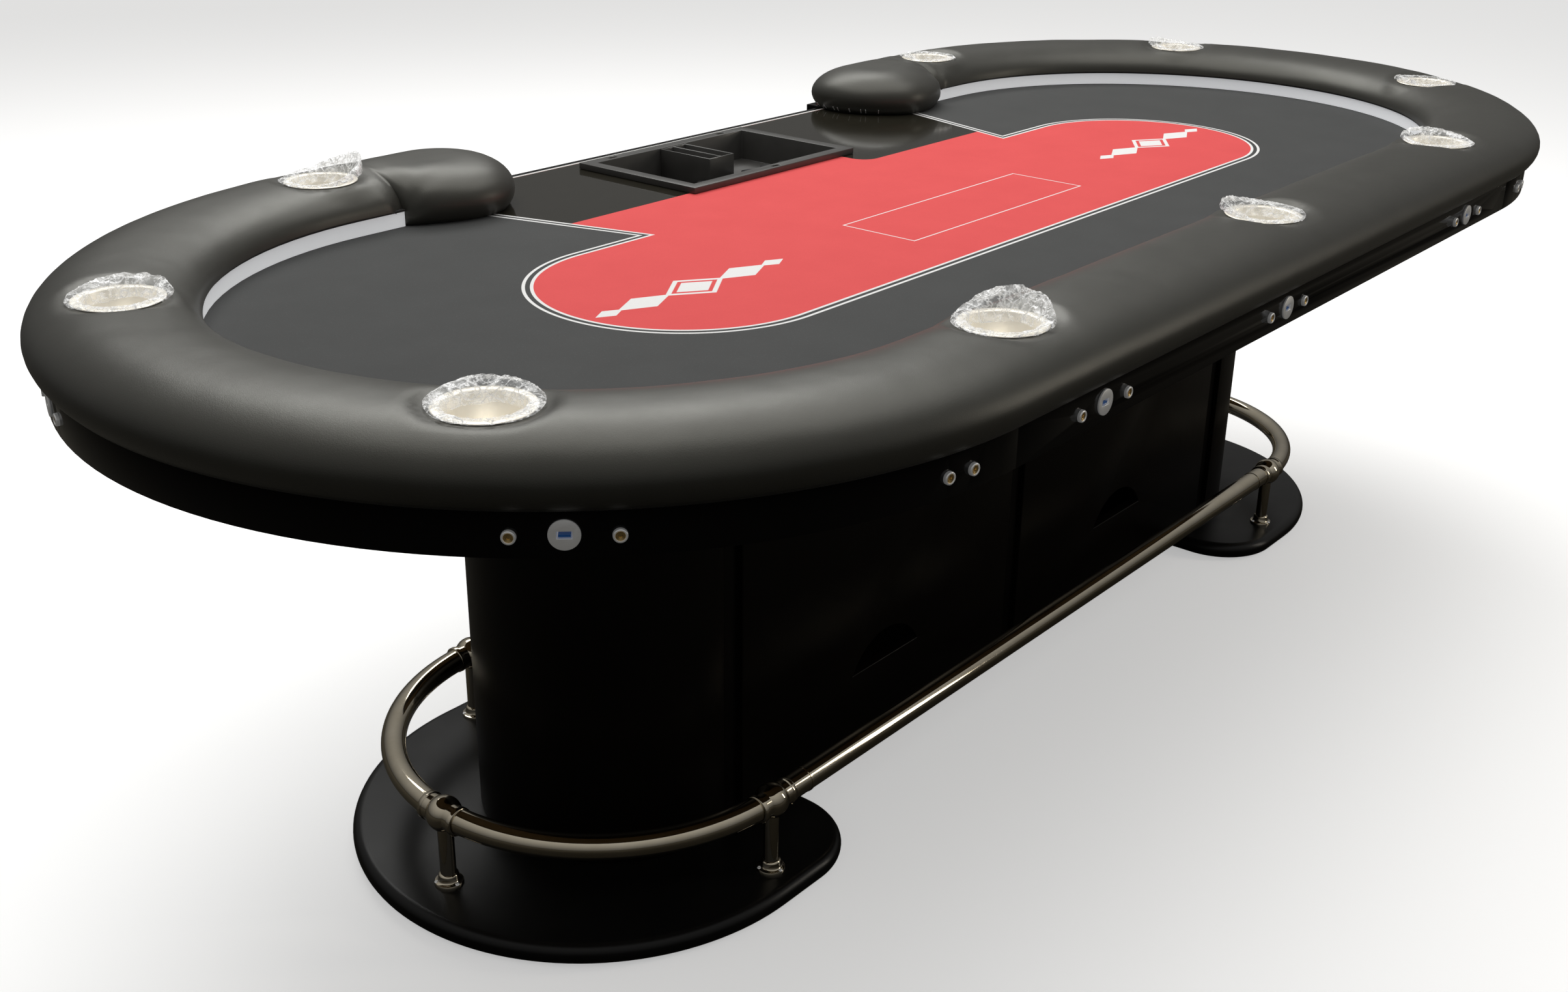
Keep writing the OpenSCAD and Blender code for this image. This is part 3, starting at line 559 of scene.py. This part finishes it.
def rail_section(inner, low):
    """The pad's closed outline as (distance from the long axis, height), from the outer foot over
    the crown to the inner foot. low is 1 where the inner side reaches down to the cloth."""
    centre = (OUTER + inner) / 2
    flat = (OUTER - inner) / 2 - PAD_A
    foot = CLOTH + 0.3 * MM
    outline = [(OUTER - TUCK, foot)]
    for k in range(17):
        t = math.radians(-30 + 7.5 * k)
        outline.append((centre + flat + PAD_A * math.cos(t), PAD_MID + PAD_RISE * math.sin(t)))
    outline.append((centre, CROWN))
    for k in range(13):
        t = math.radians(90 + 7.5 * k)
        outline.append((centre - flat + PAD_A * math.cos(t), PAD_MID + PAD_RISE * math.sin(t)))
    for k in range(1, 5):
        t = math.radians(180 + 7.5 * k)
        deep = (centre - flat + PAD_A * math.cos(t), PAD_MID + PAD_RISE * math.sin(t))
        shallow = (inner + 2.4 * MM * k, BAND_TOP)
        outline.append(tuple(s + (d - s) * low for s, d in zip(shallow, deep)))
    deep, shallow = (inner + TUCK, foot), (inner + 11.5 * MM, BAND_TOP)
    outline.append(tuple(s + (d - s) * low for s, d in zip(shallow, deep)))
    outline.append((outline[-1][0] + 0.5 * MM, BAND_TOP + 0.2 * MM))
    outline.append((centre, BAND_TOP + 0.2 * MM))
    outline.append((OUTER - TUCK - 0.5 * MM, BAND_TOP + 0.2 * MM))
    return outline


MID_TOP = 18                                     # index of the crown's middle in rail_section
MID_LOW = len(rail_section(STRIP_IN, 0)) - 2     # and of the middle of its underside


def grow(bm, edges, move):
    """Extrudes the open loop and hands each new vertex to move(vertex); returns the new loop."""
    made = bmesh.ops.extrude_edge_only(bm, edges=edges)["geom"]
    fresh = {v for v in made if isinstance(v, bmesh.types.BMVert)}
    for v in fresh:
        move(v)
    return [e for e in made if isinstance(e, bmesh.types.BMEdge) and all(v in fresh for v in e.verts)]


def lay_section(index, inner, low, x):
    """A mover that puts each vertex of a loop on the section at x on the dealer's side."""
    outline = rail_section(inner, low)

    def move(v):
        r, h = outline[v[index]]
        v.co = (x, r, h)
    return move


def half_rail():
    """One half of the rail, from the middle of the players' side to the arm rest's tip."""
    bm = bmesh.new()
    index = bm.verts.layers.int.new("place_in_section")
    first = []
    for k, (r, h) in enumerate(rail_section(STRIP_IN, 0)):
        v = bm.verts.new((0, -r, h))
        v[index] = k
        first.append(v)
    edges = [bm.edges.new(pair) for pair in zip(first, first[1:] + first[:1])]
    steps = round(HALF_RUN / SECTION_STEP)
    for _ in range(steps):
        edges = grow(bm, edges, lambda v: setattr(v, "co", v.co + Vector((HALF_RUN / steps, 0, 0))))
    loop = edges + list({v for e in edges for v in e.verts})
    turns = round(math.pi * STRIP_MID / SECTION_STEP)
    last = bmesh.ops.spin(bm, geom=loop, cent=(HALF_RUN, 0, 0), axis=(0, 0, 1),
                          angle=math.pi, steps=turns)["geom_last"]
    edges = [e for e in last if isinstance(e, bmesh.types.BMEdge)]
    steps = round((HALF_RUN - ARM_START) / SECTION_STEP)
    for k in range(1, steps + 1):
        x = HALF_RUN - (HALF_RUN - ARM_START) * k / steps
        edges = grow(bm, edges, lay_section(index, STRIP_IN, 0, x))
    edges = grow(bm, edges, lay_section(index, STRIP_IN - 2 * MM, 1, ARM_START - 0.4 * MM))
    steps = 18
    for k in range(1, steps + 1):
        t = k / steps
        inner = STRIP_IN - 8 * MM - (STRIP_IN - 8 * MM - ARM_IN) * math.sin(t * math.pi / 2)
        x = ARM_START - (ARM_START - TIP_C.x) * t
        edges = grow(bm, edges, lay_section(index, inner, 1, x))
    verts = {v for e in edges for v in e.verts}
    inner_half = [v for v in verts if MID_TOP <= v[index] <= MID_LOW]
    half_edges = [e for e in edges if all(v in inner_half for v in e.verts)]
    bmesh.ops.spin(bm, geom=inner_half + half_edges, cent=TIP_C, axis=(0, 0, -1),
                   angle=math.pi, steps=40)
    bmesh.ops.remove_doubles(bm, verts=bm.verts, dist=0.05 * MM)
    return bm


def smooth_step(value, low, high):
    """0 up to low, 1 from high, and a soft rise between them."""
    t = min(1, max(0, (value - low) / (high - low)))
    return t * t * (3 - 2 * t)


SLANT = 0.10                                     # the tip's lean, its reach and the line it turns on
SLANT_REACH = 0.11
SLANT_Y = 0.535


def slant_tip(p):
    """The arm rest's tip leans towards the outside of the table."""
    share = smooth_step(TIP_C.x - p.x, 0, SLANT_REACH)
    if share and p.y > DEALER_SIDE:
        p.x -= SLANT * (p.y - SLANT_Y) * share
        p.x = max(p.x, ARM_TIP - 4 * MM)


FOLD_REACH = 0.2                                 # no fold is further than this from the corner,
FOLD_END_X = 0.8                                 # or further out along the table than this
FOLD_WAY = Vector((-0.12, 0.99))                 # the way the main valley runs from it
VALLEY_LENGTH, VALLEY_WIDTH, PLEAT_LENGTH = 0.055, 0.017, 0.045


def corner_folds(p):
    """Folds where the skin is pulled round the inner corner between rail and arm rest."""
    away = Vector((p.x - ARM_START, p.y - STRIP_IN))
    reach = away.length
    if p.y < DEALER_SIDE or reach > FOLD_REACH or p.x > FOLD_END_X:
        return
    side = away.x * FOLD_WAY.y - away.y * FOLD_WAY.x
    forward = away.dot(FOLD_WAY)
    fade = math.exp(-max(0, forward) / VALLEY_LENGTH)
    valley = math.exp(-(side / VALLEY_WIDTH) ** 2) * fade
    turn = math.atan2(side, forward + 0.01)
    small = math.sin(turn * 9 + 0.6) * math.exp(-reach / PLEAT_LENGTH) * smooth_step(reach, 0.004, 0.02)
    top = smooth_step(p.z, CLOTH + 6 * MM, PAD_MID)
    p.z -= (10 * MM * valley + 1.5 * MM * small) * top
    p.y += (9 * MM * valley + 1.2 * MM * small) * (1 - smooth_step(p.z, PAD_MID, CROWN)) * top


CUP_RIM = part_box("cup_front_centre")[1].z
CUP_PLACES = [middle(n) for n in CUPS]
CUP_HOLE_R = 42 * MM
DENT_FLAT, DENT_END = 0.051, 0.074               # the dent is flat within the first radius


def cup_dents(p):
    """The foam is pressed flat under each cup's flange."""
    if p.z < PAD_MID:
        return
    for c in CUP_PLACES:
        reach = math.hypot(p.x - c.x, p.y - c.y)
        if reach < DENT_END:
            share = 1 - smooth_step(reach, DENT_FLAT, DENT_END)
            p.z += (CUP_RIM - 2.1 * MM - p.z) * share


def gentle_waves(p):
    """The slight unevenness of foam under a stretched skin."""
    high = smooth_step(p.z, CLOTH + 15 * MM, PAD_MID + 10 * MM)
    wave = noise.noise(p * 9) * 0.9 * MM + noise.noise(p * 28) * 0.3 * MM
    p.z += (wave - 0.6 * MM) * high


def padded_rail():
    """The whole rail, with a round hole for each cup."""
    bm = half_rail()
    for v in bm.verts:
        slant_tip(v.co)
        corner_folds(v.co)
    bmesh.ops.mirror(bm, geom=bm.verts[:] + bm.edges[:] + bm.faces[:], axis="X", merge_dist=0.05 * MM)
    for v in bm.verts:
        gentle_waves(v.co)
        cup_dents(v.co)
    closed_up(bm)
    rail = piece("padded_rail", bm, VINYL, sharp=75,
                 replaces=("rail_pad_front", "rail_pad_left", "rail_pad_right"))
    cut = bmesh.new()
    for c in CUP_PLACES:
        place = Matrix.Translation((c.x, c.y, CROWN - 0.04))
        bmesh.ops.create_cone(cut, cap_ends=True, segments=64, radius1=CUP_HOLE_R, radius2=CUP_HOLE_R,
                              depth=0.2, matrix=place)
    tool_mesh = bpy.data.meshes.new("cup_cutters")
    cut.to_mesh(tool_mesh)
    cut.free()
    tool = bpy.data.objects.new("cup_cutters", tool_mesh)
    scene.collection.objects.link(tool)
    cutter = rail.modifiers.new("cup_holes", "BOOLEAN")
    cutter.object = tool
    cutter.operation = "DIFFERENCE"
    cutter.solver = "EXACT"
    settled = bpy.data.meshes.new_from_object(rail.evaluated_get(bpy.context.evaluated_depsgraph_get()))
    rail.modifiers.clear()
    rail.data = settled
    bpy.data.objects.remove(tool)
    return rail


def foot_staples(rail):
    """Staples that hold the skin at the foot of each arm rest's tip, beside the dealer's panels."""
    faces = [face.vertices[:] for face in rail.data.polygons]
    skin = BVHTree.FromPolygons([v.co for v in rail.data.vertices], faces)
    height = CLOTH + 7 * MM
    size = Matrix.Diagonal((1.1 * MM, 1.2 * MM, 9 * MM, 1))
    uneven = (3, -2, 1)
    bm = bmesh.new()
    for side in (-1, 1):
        for k in range(9):
            turn = math.radians(140 + 10 * k + uneven[k % 3])
            way = Vector((side * math.cos(turn), math.sin(turn), 0))
            start = Vector((side * TIP_C.x, TIP_C.y, height)) + way * 0.2
            spot, normal = skin.ray_cast(start, -way)[:2]
            upright = normal.to_track_quat("X", "Z").to_matrix().to_4x4()
            bmesh.ops.create_cube(bm, size=1, matrix=Matrix.Translation(spot) @ upright @ size)
    piece("skin_staples", bm, STAPLE)


foot_staples(padded_rail())


# ---- films round the cups -----------------------------------------------------------------------
def crumpled(angle, share, seed):
    """Sharp random folds, from -1 to 1, that close up round the cup."""
    spot = Vector((math.cos(angle) * 2.1, math.sin(angle) * 2.1, share * 2.2 + seed * 7.3))
    folds = 1 - 2 * abs(noise.noise(spot * 2.2))
    fine = 1 - 2 * abs(noise.noise(spot * 5.5 + Vector((3, 1, 4))))
    return folds * 0.65 + fine * 0.35 - 0.45


# How high each film's loose side stands in mm, and which way it lies in degrees
LOBES = {
    "back_left": (27, -15), "back_right": (9, 200), "front_left": (21, 12), "front_centre": (12, 110),
    "front_right": (10, 60), "left_back": (10, 25), "left_front": (6, 40), "right_front": (8, 150),
    "right_back": (11, 100),
}


FILM_RINGS, FILM_STEPS = 26, 170
# The share of a film's width at which it meets the cup's lip and leaves the flange, and its radii at
# the tucked edge, at those two places and at its outer edge
LIP_AT, FLANGE_AT = 0.3, 0.65
TUCKED_R, LIP_R, FLANGE_R, EDGE_R = 37.0 * MM, 38.6 * MM, 49.6 * MM, 51 * MM
FILM_CLEAR = 0.9 * MM                            # between the flange and the film


def film_round(node, seed):
    """The crumpled film tucked into one cup and gathered over its flange."""
    c = middle(node)
    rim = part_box(node)[1].z
    bm = bmesh.new()
    profile = [bm.verts.new((1 + k, 0, 0)) for k in range(FILM_RINGS)]
    edges = [bm.edges.new(pair) for pair in zip(profile, profile[1:])]
    bmesh.ops.spin(bm, geom=profile + edges, cent=(0, 0, 0), axis=(0, 0, 1),
                   angle=2 * math.pi, steps=FILM_STEPS, use_merge=True)
    bmesh.ops.remove_doubles(bm, verts=bm.verts, dist=0.01)
    height, facing = LOBES[node[4:]]
    for v in bm.verts:
        angle = math.atan2(v.co.y, v.co.x)
        share = (math.hypot(v.co.x, v.co.y) - 1) / (FILM_RINGS - 1)
        round_at = Vector((math.cos(angle), math.sin(angle), 0))
        edge = 0.5 + 0.5 * noise.noise(round_at * 1.7 + Vector((0, 0, seed * 3.1)))
        outer = EDGE_R + 6 * MM * edge
        fold = crumpled(angle, share, seed)
        raised = max(0, fold + 0.35)
        lobe = max(0.0, math.cos((angle - math.radians(facing)) / 2)) ** 6
        arch = math.sin(math.pi * min(1, max(0, (share - 0.22) / 0.92)))
        if share < LIP_AT:
            t = share / LIP_AT
            r = TUCKED_R + (LIP_R - TUCKED_R) * t + 0.9 * MM * fold * (1 - t)
            h = rim - (8 + 7 * edge) * MM * (1 - t) + FILM_CLEAR * t
        elif share < FLANGE_AT:
            t = (share - LIP_AT) / (FLANGE_AT - LIP_AT)
            r = LIP_R + t * (FLANGE_R - LIP_R)
            h = rim + FILM_CLEAR + 1.3 * MM * raised
        else:
            t = (share - FLANGE_AT) / (1 - FLANGE_AT)
            r = FLANGE_R + t * (outer - FLANGE_R)
            h = rim + FILM_CLEAR - 1.2 * MM * t + 1.8 * MM * raised
        swell = (height * lobe + 2.5 * edge) * MM * arch
        h += swell * (1 + 0.16 * fold)
        r += 1.1 * MM * fold * share + 0.18 * swell
        v.co = (c.x + r * math.cos(angle), c.y + r * math.sin(angle), h)
    film = piece("film_" + node[4:], bm, FILM, body=node + "_cup", sharp=180)


for seed, cup in enumerate(CUPS):
    film_round(cup, seed + 1)


# ---- cups ---------------------------------------------------------------------------------------
def drop_in_cup(node):
    """A spun cup with a rolled flange and a dished floor."""
    low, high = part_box(node)
    c = (low + high) / 2
    flange = (high.x - low.x) / 2
    rim, floor = high.z, low.z
    outer, wall = 40 * MM, 1.2 * MM
    inside = outer - wall
    outline = [
        (0, floor), (outer - 6 * MM, floor), (outer - 2 * MM, floor + 1.2 * MM),
        (outer, floor + 5 * MM), (outer, rim - 3 * MM), (outer + 1 * MM, rim - 1.5 * MM),
        (flange - 1 * MM, rim - 1.5 * MM), (flange, rim - 0.9 * MM), (flange - 0.4 * MM, rim - 0.2 * MM),
        (flange - 1.5 * MM, rim), (outer + 2.5 * MM, rim), (outer - 0.2 * MM, rim - 0.6 * MM),
        (inside, rim - 2.2 * MM), (inside, floor + 6 * MM), (inside - 1.5 * MM, floor + 2.8 * MM),
        (inside - 5 * MM, floor + 1.4 * MM), (outer - 14 * MM, floor + wall), (0, floor + wall),
    ]
    bm = bmesh.new()
    turned(bm, outline, Matrix.Translation((c.x, c.y, 0)), steps=72)
    closed_up(bm)
    piece(node + "_spun", bm, CUP_STEEL, node + "_cup", (node,), sharp=60)


for cup in CUPS:
    drop_in_cup(cup)


# ---- base and pedestal --------------------------------------------------------------------------
for side in ("left", "right"):
    eased("base_plate_" + side, 13.6 * MM, PLATE, segments=8)
    eased("pedestal_end_" + side, 1.2 * MM, LAMINATE)
    for face in ("front", "back"):
        eased(f"panel_{face}_{side}", 1.5 * MM, LAMINATE)
eased("bulkheads", 0.8 * MM, REVEAL, segments=2)
paint_node("floor_glides", RUBBER)
paint_node("pedestal_cleats", PLY)
paint_node("top_battens", PLY)
paint_node("top_board", PLY)
for side in ("front", "left", "right"):
    paint_node("rim_frame_" + side, PLY)
    paint_node("rail_core_" + side, PLY)
paint_node("power_supply", CASE)
eased("mains_inlet", 0.8 * MM, TRIM, segments=2)
paint_node("wire_loom", RUBBER)


# ---- foot rail ----------------------------------------------------------------------------------
TUBE_R = (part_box("foot_rail_front")[1].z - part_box("foot_rail_front")[0].z) / 2
RAIL_Z = middle("foot_rail_front").z
RAIL_Y = abs(middle("foot_rail_front").y)
POST_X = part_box("foot_rail_bend_right")[1].x - TUBE_R - RAIL_Y
HALF_POSTS = ((POST_X, -RAIL_Y), (POST_X, RAIL_Y), (POST_X + RAIL_Y, 0))
POSTS = [Vector((side * x, y, 0)) for side in (-1, 1) for x, y in HALF_POSTS]


def foot_tube():
    """The whole ring of tube: two straights and two bends."""
    bm = bmesh.new()
    ring = bmesh.ops.create_circle(bm, segments=40, radius=TUBE_R)["verts"]
    start = Matrix.Translation((-POST_X, -RAIL_Y, RAIL_Z)) @ Matrix.Rotation(math.pi / 2, 4, "Y")
    bmesh.ops.transform(bm, verts=ring, matrix=start)
    edges = list({e for v in ring for e in v.link_edges})
    for step in range(2):
        sign = 1 - 2 * step
        edges = grow(bm, edges, lambda v: setattr(v, "co", v.co + Vector((sign * 2 * POST_X, 0, 0))))
        loop = edges + list({v for e in edges for v in e.verts})
        last = bmesh.ops.spin(bm, geom=loop, cent=(sign * POST_X, 0, RAIL_Z), axis=(0, 0, 1),
                              angle=math.pi, steps=72)["geom_last"]
        edges = [e for e in last if isinstance(e, bmesh.types.BMEdge)]
    closed_up(bm)
    piece("foot_rail_tube", bm, NICKEL,
          replaces=("foot_rail_front", "foot_rail_back", "foot_rail_bend_left", "foot_rail_bend_right"))


def foot_rail_fittings():
    """Ball joints with a stepped collar on each tube, posts, flanges and their screws."""
    bm = bmesh.new()
    ball_r = 22.5 * MM
    ball = [(0, -ball_r)] + [(ball_r * math.cos(math.radians(t)), ball_r * math.sin(math.radians(t)))
                             for t in range(-80, 81, 10)] + [(0, ball_r)]
    sleeve = [(TUBE_R - 1 * MM, -30 * MM), (TUBE_R + 1.2 * MM, -30 * MM), (TUBE_R + 2.2 * MM, -29 * MM),
              (TUBE_R + 2.2 * MM, -24 * MM), (TUBE_R + 1 * MM, -23 * MM), (TUBE_R + 1 * MM, 23 * MM),
              (TUBE_R + 2.2 * MM, 24 * MM), (TUBE_R + 2.2 * MM, 29 * MM), (TUBE_R + 1.2 * MM, 30 * MM),
              (TUBE_R - 1 * MM, 30 * MM)]
    foot = PLATE_TOP
    post = [(0, RAIL_Z), (9.9 * MM, RAIL_Z - 6 * MM), (9.9 * MM, foot + 15 * MM), (12 * MM, foot + 14 * MM),
            (12.6 * MM, foot + 12 * MM), (12.6 * MM, foot + 6 * MM), (14 * MM, foot + 4.4 * MM),
            (17.4 * MM, foot + 3.6 * MM), (18 * MM, foot + 2.4 * MM), (18 * MM, foot), (0, foot)]
    for p in POSTS:
        centre = Vector((p.x, p.y, RAIL_Z))
        turned(bm, ball, Matrix.Translation(centre), steps=40)
        level = Matrix.Rotation(math.pi / 2, 4, "Y" if p.y else "X")
        turned(bm, sleeve, Matrix.Translation(centre) @ level, steps=40)
        turned(bm, post, Matrix.Translation((p.x, p.y, 0)), steps=40)
    closed_up(bm)
    piece("foot_rail_joints", bm, NICKEL, sharp=50,
          replaces=("foot_rail_balls", "foot_rail_posts", "foot_rail_flanges"))
    screw_circle = 15.3 * MM
    screw_foot = foot + 3.7 * MM
    screws = bmesh.new()
    head = [(0, 0.5 * MM), (1.3 * MM, 0.5 * MM), (1.4 * MM, 1.2 * MM), (2.4 * MM, 0.9 * MM), (2.9 * MM, 0)]
    for p in POSTS:
        for k in range(3):
            turn = math.radians(120 * k + 30)
            spot = (p.x + screw_circle * math.cos(turn), p.y + screw_circle * math.sin(turn), screw_foot)
            turned(screws, head, Matrix.Translation(spot), steps=16)
    closed_up(screws)
    piece("flange_screws", screws, BEZEL, sharp=50)


foot_tube()
foot_rail_fittings()
paint_node("foot_rail_collars", NICKEL)


# ---- apron and its fittings ---------------------------------------------------------------------
for side in ("front", "left", "right", "dealer"):
    eased("apron_" + side, 1.0 * MM, APRON, segments=2, sharper=50)
eased("usb_sockets", 0.7 * MM, BEZEL, segments=2)
paint_node("usb_tongues", BLUE)


def bolt_heads():
    """The outer end and the direction of each bolt in the frame."""
    whole = bmesh.new()
    whole.from_mesh(nodes["connector_bolts"].data)
    bmesh.ops.remove_doubles(whole, verts=whole.verts, dist=0.01 * MM)
    seen = set()
    heads = []
    for first in whole.verts:
        if first in seen:
            continue
        seen.add(first)
        island = [first]
        for v in island:
            fresh = [e.other_vert(v) for e in v.link_edges if e.other_vert(v) not in seen]
            seen.update(fresh)
            island.extend(fresh)
        centre = sum((v.co for v in island), Vector()) / len(island)
        past_run = max(0, abs(centre.x) - HALF_RUN) * math.copysign(1, centre.x)
        way = Vector((past_run, centre.y, 0)).normalized()
        reach = max(v.co.dot(way) for v in island)
        heads.append((centre + way * (reach - centre.dot(way)), way))
    whole.free()
    return heads


# Outlines in mm: the ring of a bolt's head, and the dished centre inside it
RING = [
    (4.5, 0.5), (4.6, 3.2), (5.1, 3.9), (6.0, 3.9), (6.6, 3.3), (6.8, 2.4), (6.8, -0.5),
    (4.5, -0.5), (4.5, 0.5),
]
CENTRE = [(0, 1.4), (1.7, 1.5), (2.0, 2.5), (3.0, 2.8), (4.3, 3.2), (4.6, 3.0), (4.6, 0), (0, 0)]
BOLT_SINK = 4 * MM                               # their zero lies this far behind the bolt's end


def apron_bolts():
    """A polished ring round a dished brass centre, on each bolt."""
    for name, outline, finish, slot, stands_for in (
            ("bolt_rings", RING, BEZEL, "steel", ("connector_bolts",)),
            ("bolt_centres", CENTRE, BRASS, "brass", ())):
        bm = bmesh.new()
        for spot, way in bolt_heads():
            turn = Vector((0, 0, 1)).rotation_difference(way).to_matrix().to_4x4()
            place = Matrix.Translation(spot - way * BOLT_SINK) @ turn
            turned(bm, [(r * MM, h * MM) for r, h in outline], place, steps=32)
        closed_up(bm)
        piece(name, bm, finish, replaces=stands_for, sharp=50)


apron_bolts()


# ---- playing surface ----------------------------------------------------------------------------
paint_node("playing_cloth", CLOTH_PRINT)
for side in ("left", "right"):
    paint_node("gloss_panel_" + side, PANEL)
paint_node("dealer_edge_strip", WHITE_EDGE)
paint_node("light_band", BAND)
paint_node("light_tape", TAPE)
paint_node("rail_lip_trim", TRIM)

eased("chip_tray", 1.2 * MM, TRAY, segments=3, body="tray")
eased("coin_box", 0.9 * MM, TRAY, segments=2, body="tray")
for side in ("left", "right"):
    eased("chip_rack_" + side, 0.8 * MM, RACK, segments=2, sharper=25, body="tray")


# ---- stage --------------------------------------------------------------------------------------
ROOM_LOW, ROOM_RISE = 0.07, 0.40                 # the room's light at the horizon, and its rise


def pale_floor():
    """A floor that is white to the camera and dim in reflections, with a painted shadow under the pedestal.
    """
    bm = bmesh.new()
    bmesh.ops.create_grid(bm, x_segments=1, y_segments=1, size=30)
    mesh = bpy.data.meshes.new("floor")
    bm.to_mesh(mesh)
    bm.free()
    floor = bpy.data.objects.new("floor", mesh)
    scene.collection.objects.link(floor)
    p = Paint("pale_floor")
    x, y = p.axes()[:2]
    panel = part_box("panel_front_right")
    # Painted shadow: under the pedestal the floor is dark to every ray and gives off no light.
    painted_shadow = abs(x).below(panel[1].x + 20 * MM) * abs(y).below(-panel[1].y)
    seen = p.node("LightPath")["Is Camera Ray"] * (1 - painted_shadow)
    tone = p.mix(seen, (0.07, 0.065, 0.055), (0.95, 0.95, 0.95))
    lift = p.mix(seen, (0.0, 0.0, 0.0), (0.42, 0.42, 0.42))
    mesh.materials.append(p.finish(base_color=tone, roughness=0.9, specular_ior_level=0.0,
                                   emission_color=lift, emission_strength=1.0))


def pale_world():
    """Surroundings that are white to the camera, and otherwise a dim room that is lighter overhead."""
    world = bpy.data.worlds.new("studio")
    scene.world = world
    world.use_nodes = True
    tree = world.node_tree
    path = tree.nodes.new("ShaderNodeLightPath")
    place = tree.nodes.new("ShaderNodeTexCoord")
    split = tree.nodes.new("ShaderNodeSeparateXYZ")
    rise = tree.nodes.new("ShaderNodeMath")
    rise.operation = "MULTIPLY_ADD"
    rise.use_clamp = True
    rise.inputs[1].default_value = ROOM_RISE
    rise.inputs[2].default_value = ROOM_LOW
    strength = tree.nodes.new("ShaderNodeMath")
    strength.operation = "MAXIMUM"
    tree.links.new(place.outputs["Generated"], split.inputs[0])
    tree.links.new(split.outputs["Z"], rise.inputs[0])
    tree.links.new(rise.outputs[0], strength.inputs[0])
    tree.links.new(path.outputs["Is Camera Ray"], strength.inputs[1])
    background = tree.nodes["Background"]
    background.inputs["Color"].default_value = (1.0, 0.99, 0.97, 1)
    tree.links.new(strength.outputs[0], background.inputs["Strength"])
    scene.view_settings.view_transform = "Standard"


def panel_light(name, place, target, size, power, tint):
    """A soft rectangular light at place that faces target."""
    data = bpy.data.lights.new(name, "AREA")
    data.shape = "RECTANGLE"
    data.size, data.size_y = size
    data.energy = power
    data.color = tint
    light = bpy.data.objects.new(name, data)
    light.location = place
    light.rotation_euler = (Vector(target) - Vector(place)).to_track_quat("-Z", "Y").to_euler()
    scene.collection.objects.link(light)


pale_floor()
pale_world()
panel_light("ceiling", (0.2, 0.3, 3.4), (0, 0, 0.7), (4.0, 2.6), 58, (1, 0.99, 0.97))
panel_light("far_side", (1.6, 3.0, 4.2), (0, 0, 0.7), (4.0, 1.6), 100, (1, 1, 0.98))
panel_light("front", (2.6, -3.2, 1.6), (0.4, -0.3, 0.5), (0.5, 1.8), 17, (1, 0.92, 0.80))
